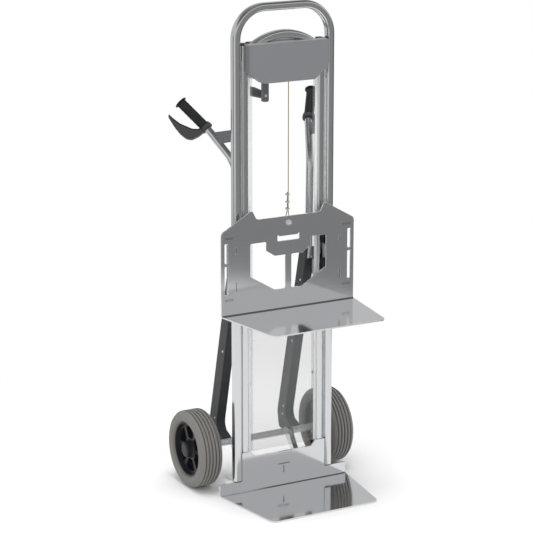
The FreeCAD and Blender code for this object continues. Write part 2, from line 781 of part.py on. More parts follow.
def skid_outline(inset):
    """Side view of a rear leg in Y and Z; inset moves the front edge back for the hollow."""
    depth = S.skid_depth
    front = [
        (skid_top.x + inset, skid_top.y, 0),
        (skid_knee.x + inset, skid_knee.y, 0),
        (skid_knee.x - 13 + inset, axle_z + 29, 0),
        (S.axle_back + 2 + inset, axle_z + 17, 0),
        (S.axle_back + 2 + inset, axle_z - 9, 0),
        (S.axle_back + 9 + inset, axle_z - 13 + inset, 0),
    ]
    back = [
        (skid_knee.x + depth - 12, axle_z - 13 + inset, 0),
        (skid_knee.x + depth, skid_knee.y - 10, 0),
        (skid_top.x + depth, skid_top.y - 30, 0),
        (skid_top.x + depth - 12, skid_top.y, 0),
    ]
    return front, back


def make_skid(side, name):
    """A rear leg: a folded channel, open at the back, whose foot is a saddle behind the axle."""
    front, back = skid_outline(0.0)
    outer = across(
        f"skid_{name}_outer",
        rounded(front + back, [8, 40, 6, 2, 1, 4, 12, 40, 10, 8]),
        "Sizes.skid_width",
        side * skid_x,
    )
    front, back = skid_outline(S.skid_wall)
    reach = 40.0
    back = [(y + reach, z, 0) for y, z, _ in back]
    back[-1] = (back[-1][0], back[-1][1] + 60, 0)
    front[0] = (front[0][0] - 60 * (skid_knee.x - skid_top.x) / (skid_top.y - skid_knee.y),
                front[0][1] + 60, 0)
    hollow = across(
        f"skid_{name}_hollow",
        rounded(front + back, [0, 37, 6, 1, 1, 3, 0, 0, 0, 0]),
        "Sizes.skid_width - 2 * Sizes.skid_wall",
        side * skid_x,
    )
    inner_half = S.skid_width / 2 - S.skid_wall
    notch = box(
        f"skid_{name}_notch",
        (side * skid_x - inner_half, skid_top.x - 20, skid_top.y - 42),
        (side * skid_x + inner_half, skid_top.x + 120, skid_top.y + 20),
    )
    bore = pin(
        f"skid_{name}_bore",
        "Sizes.axle_diameter / 2 + Sizes.seat_gap",
        Vector(side * skid_x - S.skid_width, S.axle_back, axle_z),
        X_AXIS,
        2 * S.skid_width,
    )
    drills = []
    for y, z in skid_bolt_places():
        start = Vector(side * (skid_x + S.skid_width), y, z)
        reach = 2 * S.skid_width if z > skid_top.y - 42 else S.skid_width
        drills.append(pin(f"skid_{name}_drill", bolt_hole, start, X_AXIS * -side, reach))
    return node(f"skid_{name}", cut(f"skid_{name}", outer, [hollow, notch, bore] + drills))


def make_skid_rivets():
    """Dome-headed rivets along both webs of the rear legs."""
    pieces = []
    middle = (skid_top.y + skid_knee.y) / 2
    for height in (skid_top.y - 118, middle - 38, skid_knee.y + 18, skid_knee.y - 12):
        run = (skid_top.y - height) / (skid_top.y - skid_knee.y)
        front_y = skid_top.x + run * (skid_knee.x - skid_top.x)
        y = min(front_y, skid_knee.x) + 14
        for web in (-1, 1):
            face = skid_x + web * S.skid_width / 2
            dome = profile((0, 0), (0, 4), (1, 3.6), (2.2, 2), (2.6, 0))
            pieces.append(turned("rivet", dome, Vector(face, y, height), X_AXIS * web))
    right = group("skid_rivets_right", pieces)
    return node("skid_rivets", pair("skid_rivets", right))


def make_axle_struts():
    """Flat struts from the axle down to the base channel."""
    thick = 8.0
    back = 70.0
    hold = S.axle_diameter / 2 + 9
    axle = Vector(S.axle_back, axle_z, 0)
    outline = rounded(
        [(back, 12, 0), (back + thick, 12, 0), (back + thick, 24, 0),
         (axle.x + hold * 0.75, axle.y - hold * 0.5, 0),
         (axle.x + hold * 0.75, axle.y + hold * 0.6, 0), (axle.x - hold * 0.8, axle.y + hold * 0.6, 0),
         (axle.x - hold, axle.y - hold * 0.55, 0), (back, 36, 0)],
        [0, 0, 12, 10, 10, 10, 20, 12],
    )
    width = 18.0
    middle = skid_x - S.skid_width / 2 - width / 2 - 1
    blank = across("axle_strut_blank", outline, width, middle)
    bore = pin(
        "axle_strut_bore",
        "Sizes.axle_diameter / 2 + Sizes.seat_gap",
        Vector(middle - width, axle.x, axle.y),
        X_AXIS,
        2 * width,
    )
    return node("axle_struts", pair("axle_struts", cut("axle_strut", blank, [bore])))


def make_skid_brackets():
    """Angle brackets welded to the inner rails that the rear legs' tops are bolted to."""
    sheet_metal = skid_bracket_sheet
    inner = skid_x + S.skid_width / 2
    rear = skid_top.x + 48
    low, high = skid_top.y - 96, skid_top.y - 36
    outline = rounded(
        [(rail_x - 11, rail_rear, 0), (inner + sheet_metal, rail_rear, 0), (inner + sheet_metal, rear, 0),
         (inner, rear, 0), (inner, rail_rear + sheet_metal, 0), (rail_x - 11, rail_rear + sheet_metal, 0)],
        [0, 4, 0, 0, 2, 0],
    )
    bracket = level("skid_bracket_blank", outline, low, high - low)
    drills = [
        pin("skid_bracket_drill", bolt_hole, Vector(inner - 2, y, z), X_AXIS, sheet_metal + 4)
        for y, z in skid_bolt_places()[:2]
    ]
    return node("skid_brackets", pair("skid_brackets", cut("skid_bracket", bracket, drills)))


# Handles

grip_start = Vector(S.grip_half, S.grip_back, S.grip_height)
grip_axis = Vector(0.448, 0.631, 0.634).normalize()
guard_side = Vector(0.75, 0.12, -0.65)
guard_side = (guard_side - grip_axis * guard_side.dot(grip_axis)).normalize()


def handle_route():
    """Middle line of the right handle tube, from the rear leg to the grip's end."""
    lower = Vector(skid_x - 0.35, skid_top.x + 17, skid_top.y - 36)
    knee = Vector(skid_x + 3, rail_rear + 36, S.handle_knee_height)
    shoulder = grip_start - grip_axis * 22
    return [lower, knee, shoulder, grip_start + grip_axis * (S.grip_length - 8)]


def make_handle_tube(side, name):
    """A bent handle tube from the rear leg up and back into the grip."""
    route = [(side * point.x, point.y, point.z) for point in handle_route()]
    path = doc.addObject("Part::Feature", f"handle_{name}_path")
    path.Shape = wire(rounded(route, [0, 120, 110, 0], closed=False))
    start = Vector(*route[0])
    direction = (Vector(*route[1]) - start).normalize()
    layers = []
    for kind, radius in (("outer", S.handle_diameter / 2),
                         ("inner", S.handle_diameter / 2 - S.handle_wall)):
        ring = doc.addObject("Part::Feature", f"handle_{name}_{kind}_ring")
        ring.Shape = Part.Wire([Part.makeCircle(radius, start, direction)])
        sweep = doc.addObject("Part::Sweep", f"handle_{name}_{kind}")
        sweep.Sections = [ring]
        sweep.Spine = (path, [f"Edge{number}" for number in range(1, len(path.Shape.Edges) + 1)])
        sweep.Solid = True
        sweep.Frenet = False
        layers.append(sweep)
    y, z = skid_bolt_places()[2]
    drill = pin(f"handle_{name}_drill", bolt_hole, Vector(side * (skid_x + 30), y, z), X_AXIS * -side, 60)
    return node(f"handle_tube_{name}", cut(f"handle_tube_{name}", layers[0], [layers[1], drill]))


def grip_placement(side):
    """Placement whose X runs along the grip and whose Y points to the knuckle guard."""
    along = Vector(side * grip_axis.x, grip_axis.y, grip_axis.z)
    out = Vector(side * guard_side.x, guard_side.y, guard_side.z)
    third = along.cross(out)
    rotation = Rotation(along, out, third, "XYZ")
    return Placement(Vector(side * grip_start.x, grip_start.y, grip_start.z), rotation)


def make_grip(side, name):
    """A moulded hand grip with finger rings and an end flange."""
    bore = S.handle_diameter / 2 + 0.1
    outside = S.grip_diameter / 2
    length = S.grip_length
    outline = [(0.3, bore), (0.3, outside + 3), (5, outside + 3)]
    rings, first, last = 7, 12.0, length - 14
    for index in range(rings):
        middle = first + (last - first) * index / (rings - 1)
        outline += [(middle - 2, outside), (middle, outside - 0.6), (middle + 2, outside)]
    outline += [(length - 4, outside), (length - 3.5, outside + 5.5), (length, outside + 5.5), (length, 0)]
    outline += [(length - 4, 0), (length - 4, bore)]
    body = new_body(f"grip_{name}")
    sketch = add_sketch(body, "XZ_Plane", rounded([(along, radius, 0) for along, radius in outline], 0.0))
    add_revolution(body, sketch)
    body.Placement = grip_placement(side)
    return node(f"grip_{name}", body)


def make_knuckle_guard(side, name):
    """A hooked knuckle guard that leaves a collar under the grip and sweeps round the fingers."""
    collar = S.handle_diameter / 2 + 8.5
    blade_points = [
        (-14, 4, 0), (-12, 40, 0), (0, 70, 0), (26, 87, 0), (58, 86, 0), (104, 72, 0),
        (106, 67, 0), (68, 56, 0), (36, 42, 0), (14, 31, 0), (-1, 23, 0), (-1, 4, 0),
    ]
    radii = [0, 30, 26, 26, 40, 3, 2, 60, 40, 30, 8, 0]
    blade = new_body(f"guard_{name}_blade")
    add_pad(blade, add_sketch(blade, "XY_Plane", rounded(blade_points, radii)), 26.0, symmetric=True)
    ring = new_body(f"guard_{name}_ring")
    ring_outline = rounded([(-14, 2, 0), (-14, collar, 0), (0, collar, 0), (0, 2, 0)], [0, 3, 2, 0])
    add_revolution(ring, add_sketch(ring, "XY_Plane", ring_outline))
    solid = fuse(f"guard_{name}_solid", [blade, ring])
    bore = pin(f"guard_{name}_bore", S.handle_diameter / 2 + 0.1, Vector(-40, 0, 0), X_AXIS, 80)
    guard = cut(f"knuckle_guard_{name}", solid, [bore])
    guard.Placement = grip_placement(side)
    return node(f"knuckle_guard_{name}", guard)


def make_handle_brackets():
    """Plates from the handle tubes forward to the inner rails, with bolted feet."""
    sheet_metal = 5.0
    foot = Vector(rail_x + 10.5, rail_rear, 0)
    knee, shoulder = handle_route()[1:3]
    tube_middle = knee + (shoulder - knee) * ((S.bracket_height - 25 - knee.z) / (shoulder.z - knee.z))
    run = Vector(tube_middle.x, tube_middle.y, 0) - foot
    length = run.Length
    middle = S.bracket_height
    plate = new_body("handle_bracket_plate")
    outline = rounded(
        [(sheet_metal, middle - 19, 0), (length - 30, middle - 41, 0), (length, middle - 31, 0),
         (length, middle - 7, 0), (sheet_metal, middle + 19, 0)],
        [0, 12, 0, 0, 0],
    )
    outline += disc(3.5, length - 46, middle - 21)
    add_pad(plate, add_sketch(plate, "XZ_Plane", outline), sheet_metal, symmetric=True)
    turn = math.degrees(math.atan2(run.y, run.x))
    plate.Placement = Placement(foot, Rotation(Z_AXIS, turn))
    pad_plate = box(
        "handle_bracket_foot",
        (rail_x - 11, rail_rear, middle - 21),
        (foot.x + 3, rail_rear + sheet_metal, middle + 21),
    )
    solid = fuse("handle_bracket_solid", [plate, pad_plate])
    route = handle_route()
    clearance = doc.addObject("Part::Feature", "handle_bracket_clearance")
    middle_line = wire(rounded([tuple(point) for point in route], [0, 120, 110, 0], closed=False))
    start = route[0]
    ring = Part.Wire([Part.makeCircle(S.handle_diameter / 2 + S.seat_gap, start,
                                      (route[1] - start).normalize())])
    clearance.Shape = middle_line.makePipeShell([ring], True, False)
    drills = [
        pin("handle_bracket_drill", bolt_hole, Vector(rail_x, rail_rear - 2, height), Y_AXIS,
            sheet_metal + 30)
        for height in bracket_bolt_heights()
    ]
    return node("handle_brackets", pair("handle_brackets",
                                        cut("handle_bracket", solid, [clearance] + drills)))


# Winch

drum_x = -S.drum_offset
plate_front = fin_front - 4.0
centre_distance = S.gear_module * (S.gear_teeth + S.pinion_teeth) / 2
crank_z = drum_height + centre_distance
gear_rear = plate_front - 2.0
gear_front = gear_rear - S.gear_width
drum_rear = gear_front - 0.4
drum_front = -S.cover_lead + S.cover_wall + 2.8
housing_back = 80.0
housing_neck = 50.0
housing_lid_sheet = 3.0
bow_front_clear = S.bow_back - S.post_depth / 2 - 1.0


def make_winch_plate():
    """The steel plate between the rails that carries the drum and the crank shaft."""
    half = rail_side - 2.5
    low, shoulder, high = drum_height - 26, drum_height + 33, drum_height + 73
    outline = rounded(
        [(-half, low, 0), (half, low, 0), (half, shoulder, 0), (60, high, 0), (-60, high, 0),
         (-half, shoulder, 0)], 6.0
    )
    holes = disc(S.bolt_diameter * 0.75 + 0.05, drum_x, drum_height) + disc(9.0, drum_x, crank_z)
    for x, z in winch_bolt_places():
        holes += disc(bolt_hole, x, z) + disc(bolt_hole, -x, z)
    plate = upright("winch_plate_blank", outline + holes, plate_front, 4.0)
    pivot = pin("pawl_pin", 3.0, Vector(pawl_x, plate_front + 2, pawl_z), Y_AXIS,
                ratchet_front + 12 - plate_front)
    return node("winch_plate", fuse("winch_plate", [plate, pivot]))


def make_winch_cover():
    """The folded front cover over the drum, with a rope slot in its lower edge."""
    half = S.cover_width / 2
    lower = S.cover_bottom_half
    front = -S.cover_lead

    def face(inset):
        return rounded(
            [(-half + inset, cover_top - inset, 0), (-half + inset, cover_side + inset * 0.4, 0),
             (-lower + inset * 0.4, cover_bottom + inset, 0),
             (lower - inset * 0.4, cover_bottom + inset, 0),
             (half - inset, cover_side + inset * 0.4, 0), (half - inset, cover_top - inset, 0)],
            [4 - inset / 2, 8, 8, 8, 8, 4 - inset / 2],
        )

    depth = rail_front - front
    shell = upright("cover_shell", face(0.0), front, depth)
    hollow = upright("cover_hollow", face(S.cover_wall), front + S.cover_wall, depth)
    notch = box("cover_bow_notch", (-half + 6, bow_front_clear, cover_top - 20),
                (half - 6, 40, cover_top + 5))
    slot = box("cover_rope_slot", (-38, front + 6, cover_bottom - 5), (38, -4, cover_bottom + 6))
    folded = cut("cover_folded", shell, [hollow, notch, slot])
    lips = []
    for side, name in SIDES:
        inner, outer = side * (rail_side + 0.4), side * (half - S.cover_wall / 2)
        low, high = sorted((inner, outer))
        lips.append(
            box(f"cover_lip_{name}", (low, rail_front - S.cover_wall, cover_side + 8),
                (high, rail_front, cover_top - 8))
        )
    return node("winch_cover", fuse("winch_cover", [folded] + lips))


def make_winch_housing():
    """The black housing behind the plate, stepped to clear the bow, open at its front."""
    wall = 3.0
    wide = 100.0
    front, step = plate_front + 4.0, S.bow_back + S.post_depth / 2 + 3.0
    bottom, shelf = drum_height - 31.0, drum_height + 42.0
    shoulder, top = cover_top - 6.0, cover_top - housing_lid_sheet

    def wide_view(inset, lead):
        return rounded(
            [(lead, bottom + inset, 0), (housing_back - inset, bottom + inset, 0),
             (housing_back - inset, shoulder - inset, 0), (step + inset, shoulder - inset, 0),
             (step + inset, shelf - inset, 0), (lead, shelf - inset, 0)],
            [0, 6, 6, 4, 2, 0],
        )

    def narrow_view(inset, lead):
        return rounded(
            [(lead, bottom + inset, 0), (housing_back - inset, bottom + inset, 0),
             (housing_back - inset, top - inset, 0),
             (lead, top - inset, 0)],
            [0, 6, 4, 0],
        )

    shell = fuse(
        "housing_shell",
        [
            across("housing_wide", wide_view(0.0, front), 2 * wide),
            across("housing_middle", narrow_view(0.0, front), 2 * housing_neck),
        ],
    )
    tools = [
        across("housing_wide_hollow", wide_view(wall, front - 5), 2 * (wide - wall)),
        across("housing_middle_hollow", narrow_view(wall, front - 5), 2 * (housing_neck - wall)),
        pin("housing_door", 9.0, Vector(drum_x, housing_back - 10, crank_z), Y_AXIS, 20),
    ]
    return node("winch_housing", cut("winch_housing", shell, tools))


def make_housing_lid():
    """The light plate on the housing's raised middle, from the cover's flange to the back."""
    start = bow_front_clear + 0.4
    half = housing_neck
    outline = rounded([(-half, start, 0), (half, start, 0), (half, housing_back, 0),
                       (-half, housing_back, 0)], [0, 0, 6, 6])
    return node("housing_lid", level("housing_lid", outline, cover_top - housing_lid_sheet,
                                     housing_lid_sheet))


def make_drum_shaft():
    """The fixed pin that the drum turns on, with its head in front and nut behind the plate."""
    radius = S.bolt_diameter * 0.75
    start = drum_front - 1.8
    outline = profile(
        (0, 0), (0, radius + 3), (1.5, radius + 3), (1.5, radius), (plate_front + 11 - start, radius),
        (plate_front + 11 - start, 0),
    )
    shaft = turned("drum_pin", outline, Vector(drum_x, start, drum_height), Y_AXIS)
    nut = doc.addObject("Part::Prism", "drum_pin_nut")
    nut.Polygon = 6
    nut.Circumradius = 11.0
    nut.Height = 6.0
    nut.Placement = Placement(Vector(drum_x, plate_front + 4.0, drum_height), Rotation(Z_AXIS, Y_AXIS))
    return node("drum_shaft", fuse("drum_shaft", [shaft, nut]))


def toothed(label, teeth, width, bore):
    """A spur wheel along Y: a root disc with one tooth that is repeated round it."""
    pitch = S.gear_module * teeth / 2
    tip, root = pitch + 0.9 * S.gear_module, pitch - 1.2 * S.gear_module
    body = new_body(label)
    blank = add_sketch(body, "XZ_Plane", disc(root) + disc(bore))
    add_pad(body, blank, width, backwards=True)
    half_root, half_tip = 0.78 * S.gear_module, 0.30 * S.gear_module
    tooth = [(-half_root, root - 0.5, 0), (half_root, root - 0.5, 0), (0.58 * S.gear_module, pitch, 0),
             (half_tip, tip, 0), (-half_tip, tip, 0), (-0.58 * S.gear_module, pitch, 0)]
    first = add_pad(body, add_sketch(body, "XZ_Plane", rounded(tooth, 0.0)), width, backwards=True)
    doc.recompute()
    pattern = body.newObject("PartDesign::PolarPattern", f"{label}_teeth")
    pattern.Originals = [first]
    pattern.Axis = (blank, ["N_Axis"])
    pattern.Angle = 360.0
    pattern.Occurrences = int(teeth)
    body.Tip = pattern
    doc.recompute()
    return body


def make_drum():
    """The rope drum with its two flanges, turning on the drum pin."""
    bore = S.bolt_diameter * 0.75 + 0.05
    flange = S.drum_radius + 6
    length = drum_rear - drum_front
    outline = profile(
        (0, bore), (0, flange), (2, flange), (2, S.drum_radius), (length - 2, S.drum_radius),
        (length - 2, flange),
        (length, flange), (length, bore),
    )
    return node("rope_drum", turned("rope_drum", outline, Vector(drum_x, drum_front, drum_height), Y_AXIS))


def make_drum_gear():
    """The spur gear fixed to the drum."""
    gear = toothed("drum_gear", S.gear_teeth, "Sizes.gear_width", S.bolt_diameter * 0.75 + 0.05)
    gear.Placement = Placement(Vector(drum_x, gear_front, drum_height), Rotation())
    return node("drum_gear", gear)


def make_crank_shaft():
    """The crank shaft with its pinion, through the winch plate and the housing."""
    radius = 7.0
    pinion = toothed("pinion", S.pinion_teeth, "Sizes.gear_width", 2.0)
    mesh_turn = 180.0 / S.pinion_teeth if int(S.pinion_teeth) % 2 == 0 else 0.0
    pinion.Placement = Placement(Vector(drum_x, gear_front, crank_z), Rotation(Y_AXIS, mesh_turn))
    bar = pin("crank_bar", radius, Vector(drum_x, gear_front - 2, crank_z), Y_AXIS,
              S.crank_back + 20 - gear_front)
    return node("crank_shaft", fuse("crank_shaft", [pinion, bar]))


def make_crank_bushes():
    """Flanged bronze bushes for the crank shaft in the plate and the housing."""
    bore = 7.05
    outline = profile((0, bore), (0, 12), (2, 12), (2, 8.95), (6, 8.95), (6, bore))
    front = turned("bush_front", outline, Vector(drum_x, plate_front + 6.1, crank_z), -Y_AXIS)
    rear = turned("bush_rear", outline, Vector(drum_x, housing_back - 5.1, crank_z), Y_AXIS)
    return node("crank_bushes", group("crank_bushes", [front, rear]))


ratchet_front = 40.0
ratchet_radius = 22.0
pawl_x = drum_x + 34.0
pawl_z = crank_z + 11.0


def make_ratchet():
    """The ratchet wheel of the load brake."""
    teeth = 12
    body = new_body("ratchet_wheel")
    root = ratchet_radius - 4.5
    blank = add_sketch(body, "XZ_Plane", disc(root) + disc(7.1))
    add_pad(body, blank, 6.0, backwards=True)
    step = math.radians(360 / teeth)
    tooth = [
        (0, root - 1, 0), (0, ratchet_radius, 0),
        (0.75 * root * math.sin(step), root * math.cos(0.75 * step), 0), (2, root - 3, 0),
    ]
    first = add_pad(body, add_sketch(body, "XZ_Plane", rounded(tooth, 0.0)), 6.0, backwards=True)
    doc.recompute()
    pattern = body.newObject("PartDesign::PolarPattern", "ratchet_teeth")
    pattern.Originals = [first]
    pattern.Axis = (blank, ["N_Axis"])
    pattern.Angle = 360.0
    pattern.Occurrences = teeth
    body.Tip = pattern
    body.Placement = Placement(Vector(drum_x, ratchet_front, crank_z), Rotation())
    doc.recompute()
    return node("ratchet_wheel", body)


def make_brake_discs():
    """The friction discs on both sides of the ratchet wheel."""
    pieces = []
    for name, start in (("front", ratchet_front - 4.1), ("rear", ratchet_front + 6.1)):
        outline = profile((0, 7.1), (0, 20), (4, 20), (4, 7.1))
        pieces.append(turned(f"brake_disc_{name}", outline, Vector(drum_x, start, crank_z), Y_AXIS))
    return node("brake_discs", group("brake_discs", pieces))


def make_pawl():
    """The sprung pawl beside the ratchet wheel."""
    hub = turned(
        "pawl_hub", profile((0, 3.05), (0, 6.5), (6, 6.5), (6, 3.05)),
        Vector(pawl_x, ratchet_front, pawl_z), Y_AXIS
    )
    tip_x = drum_x + ratchet_radius + S.seat_gap
    finger = upright(
        "pawl_finger",
        rounded([(pawl_x - 3, pawl_z - 4, 0), (tip_x, pawl_z - 11, 0), (tip_x + 1, pawl_z - 7, 0),
                 (pawl_x - 2, pawl_z + 4, 0)], 0.0),
        ratchet_front,
        6.0,
    )
    bore = pin("pawl_bore", 3.05, Vector(pawl_x, ratchet_front - 2, pawl_z), Y_AXIS, 12)
    return node("pawl", cut("pawl", fuse("pawl_solid", [hub, finger]), [bore]))


def make_crank_arm():
    """The flat crank arm on the shaft's end, hanging down."""
    width, depth, below = 22.0, 12.0, 20.0
    low = crank_z - S.crank_radius - below
    outline = rounded(
        [(drum_x - width / 2, low, 0), (drum_x + width / 2, low, 0), (drum_x + width / 2, crank_z + 14, 0),
         (drum_x - width / 2, crank_z + 14, 0)],
        [5, 5, 8, 8],
    )
    holes = disc(7.1, drum_x, crank_z) + disc(5.1, drum_x, crank_z - S.crank_radius)
    return node("crank_arm", upright("crank_arm", outline + holes, S.crank_back, depth))


def make_crank_pin():
    """The fixed pin that the crank grip turns on."""
    length = 12 + S.crank_grip_length + 4
    outline = profile((0, 0), (0, 5), (length, 5), (length, 0))
    base = Vector(drum_x, S.crank_back, crank_z - S.crank_radius)
    return node("crank_pin", turned("crank_pin", outline, base, Y_AXIS))


def make_crank_grip():
    """The tapered revolving grip with its light collar and end disc."""
    bore = 5.05
    length = S.crank_grip_length
    outline = profile(
        (0, bore), (0, 11), (2, 12), (length - 17, 16), (length - 17, 12), (length - 7, 12),
        (length - 7, 14.5),
        (length - 1, 14.5), (length, 13.5), (length, bore),
    )
    base = Vector(drum_x, S.crank_back + 12.5, crank_z - S.crank_radius)
    return node("crank_grip", turned("crank_grip", outline, base, Y_AXIS))


# Guard panel and fasteners


def make_guard_panel():
    """The clear panel behind the fins in the lower half of the frame."""
    half = rail_side - 1.5
    outline = rounded(
        [(-half, S.panel_bottom, 0), (half, S.panel_bottom, 0), (half, S.panel_top, 0),
         (-half, S.panel_top, 0)], 3.0
    )
    holes = []
    for x, z in panel_screw_places():
        holes += disc(screw_hole, x, z) + disc(screw_hole, -x, z)
    return node("guard_panel", upright("guard_panel", outline + holes, fin_rear, "Sizes.panel_thickness"))


def make_frame_screws():
    """Pan-head screws that hold the guard panel to the fins."""
    pieces = []
    for x, z in panel_screw_places():
        for side, name in SIDES:
            face = Vector(side * x, fin_rear + S.panel_thickness, z)
            pieces.append(pan_screw(f"panel_screw_{name}", S.screw_diameter, face, -Y_AXIS, 8.0))
    return node("frame_screws", group("frame_screws", pieces))


def make_frame_bolts():
    """Hexagon bolts of the winch plate, the handle brackets and the rear legs."""
    pieces = []
    for x, z in winch_bolt_places():
        pieces.append(hex_bolt("winch_bolt", S.bolt_diameter, Vector(x, plate_front, z), Y_AXIS, 16))
    for height in bracket_bolt_heights():
        face = Vector(rail_x, rail_rear + 5.0, height)
        pieces.append(hex_bolt("bracket_bolt", S.bolt_diameter, face, -Y_AXIS, 14))
    web = skid_x + S.skid_width / 2
    for y, z in skid_bolt_places()[:2]:
        pieces.append(hex_bolt("skid_bolt", S.bolt_diameter, Vector(web + skid_bracket_sheet, y, z),
                               -X_AXIS, 16))
    y, z = skid_bolt_places()[2]
    pieces.append(hex_bolt("handle_bolt", S.bolt_diameter, Vector(web, y, z), -X_AXIS, S.skid_width + 6))
    return node("frame_bolts", pair("frame_bolts", group("frame_bolts_right", pieces)))


# Carriage

plate_face = -S.platform_lead
plate_back = plate_face + S.platform_thickness
cheek_in, cheek_thick = post_outer + 6.0, 4.0
cheek_low, cheek_high = S.platform_height + 40, S.platform_height + 262
shoe_heights = (S.platform_height + S.lower_shoe_rise, S.platform_height + S.upper_shoe_rise)
shoe_tall = 46.0


def backplate_holes():
    """Openings of the backplate: hand slot, two windows, strap slots and tab slots."""
    floor = S.platform_height
    half_bar = S.bar_width / 2
    top = floor + S.window_top
    bottom = floor + S.window_bottom
    bridge = floor + 179
    curves = hand_slot() + disc(screw_hole + 1.5, 0, floor + S.eye_rise)
    for side, _ in SIDES:
        window = [
            (side * half_bar, bottom, 0), (side * 50, bottom, 0), (side * S.window_half, floor + 120, 0),
            (side * S.window_half, top, 0), (side * 82, top, 0), (side * 82, floor + 199, 0),
            (side * 51, bridge, 0), (side * half_bar, bridge, 0),
        ]
        curves += rounded(window, [5, 5, 4, 5, 6, 6, 6, 4])
        curves += block(12, 65, 3, side * S.strap_slot_half, floor + 206.6)
        curves += block(12, 94, 3, side * S.strap_slot_half, floor + 117)
        for low, high in tab_heights():
            curves += block(cheek_thick + 0.4, high - low + 0.4, 0, side * (cheek_in + cheek_thick / 2),
                            (low + high) / 2)
    return curves


def hand_slot():
    """The hand slot: a long slot whose upper corners are relieved."""
    half, relief, ear = S.hand_slot_width / 2, 6.0, 4.0
    low = S.platform_height + S.hand_slot_rise - S.hand_slot_height / 2
    high = low + S.hand_slot_height
    points = [
        (-half, low, 0), (half, low, 0), (half, high + ear, 0), (half - relief, high + ear, 0),
        (half - relief, high, 0), (-half + relief, high, 0), (-half + relief, high + ear, 0),
        (-half, high + ear, 0),
    ]
    return rounded(points, [3, 3, 2.9, 2.9, 1, 1, 2.9, 2.9])


def tab_heights():
    """Lower and upper ends of the cheeks' tabs."""
    return ((S.platform_height + 76, S.platform_height + 106),
            (S.platform_height + 202, S.platform_height + 225))


def make_lift_platform():
    """The lifting platform and its backplate, folded from one sheet."""
    heel, tip = S.platform_heel_width / 2, S.platform_tip_width / 2
    floor, sheet_metal, bend = S.platform_height, S.platform_thickness, S.platform_bend
    body = new_body("lift_platform")
    edge = plate_face - bend
    front = plate_face - S.platform_depth
    table = rounded([(-heel, edge, 0), (-tip, front, 0), (tip, front, 0), (heel, edge, 0)], [0, 26, 26, 0])
    add_pad(body, add_sketch(body, "XY_Plane", table, Vector(0, 0, floor - sheet_metal)),
            "Sizes.platform_thickness")
    outer = bend + sheet_metal
    middle_y, middle_z = edge, floor + bend
    diagonal = math.sqrt(0.5)
    fold = [
        Part.Arc(
            Vector(edge, floor, 0),
            Vector(middle_y + bend * diagonal, middle_z - bend * diagonal, 0),
            Vector(plate_face, middle_z, 0),
        ),
        Part.LineSegment(Vector(plate_face, middle_z, 0), Vector(plate_back, middle_z, 0)),
        Part.Arc(
            Vector(plate_back, middle_z, 0),
            Vector(middle_y + outer * diagonal, middle_z - outer * diagonal, 0),
            Vector(edge, floor - sheet_metal, 0),
        ),
        Part.LineSegment(Vector(edge, floor - sheet_metal, 0), Vector(edge, floor, 0)),
    ]
    add_pad(body, add_sketch(body, "YZ_Plane", fold), "Sizes.platform_heel_width", symmetric=True)
    side_top, peak, lip = floor + S.backplate_side, floor + S.backplate_peak, floor + S.backplate_edge
    horn = S.horn_half
    back = rounded(
        [(-heel, middle_z, 0), (heel, middle_z, 0), (heel, side_top, 0), (horn + 2, peak, 0),
         (horn - 6, peak, 0),
         (horn - 21, lip, 0), (-horn + 21, lip, 0), (-horn + 6, peak, 0), (-horn - 2, peak, 0),
         (-heel, side_top, 0)],
        [0, 0, 14, 6, 2, 14, 14, 2, 6, 14],
    )
    sketch = add_sketch(body, "XZ_Plane", back + backplate_holes(), Vector(0, 0, -plate_face))
    add_pad(body, sketch, "Sizes.platform_thickness", backwards=True)
    return node("lift_platform", body)


def make_carriage_cheeks():
    """Side plates behind the backplate, tabbed through it, that hold the slide shoes."""
    back, front = post_rear + 8, plate_face + S.tab_recess
    (tab_a, tab_b), (tab_c, tab_d) = tab_heights()
    outline = rounded(
        [(plate_back, cheek_low, 0), (back - 16, cheek_low, 0), (back, cheek_low + 16, 0),
         (back, cheek_high - 16, 0),
         (back - 16, cheek_high, 0), (plate_back, cheek_high, 0), (plate_back, tab_d, 0), (front, tab_d, 0),
         (front, tab_c, 0), (plate_back, tab_c, 0), (plate_back, tab_b, 0), (front, tab_b, 0),
         (front, tab_a, 0),
         (plate_back, tab_a, 0)],
        [0, 6, 6, 6, 6, 0, 0, 0, 0, 0, 0, 0, 0, 0],
    )
    cheek = across("carriage_cheek_blank", outline, cheek_thick, cheek_in + cheek_thick / 2)
    drills = []
    for y, z in shoe_screw_places():
        drills.append(pin("cheek_drill", screw_hole, Vector(cheek_in - 2, y, z), X_AXIS, cheek_thick + 4))
    return node("carriage_cheeks", pair("carriage_cheeks", cut("carriage_cheek", cheek, drills)))


def shoe_screw_places():
    """Y and Z of the screws that hold the slide shoes to a cheek."""
    return [(S.post_back, height + step) for height in shoe_heights for step in (-14, 14)]


def make_carriage_gussets():
    """Level webs outside the cheeks, behind the backplate."""
    inner = cheek_in + cheek_thick
    outer = inner + S.gusset_reach
    pieces = []
    for height in (S.platform_height + 50, S.platform_height + 254):
        outline = rounded(
            [(inner, plate_back, 0), (outer, plate_back, 0), (outer, plate_back + 8, 0),
             (inner + 4, post_rear, 0),
             (inner, post_rear, 0)],
            0.0,
        )
        pieces.append(level("carriage_gusset", outline, height, 4.0))
    return node("carriage_gussets", pair("carriage_gussets", group("carriage_gussets_right", pieces)))


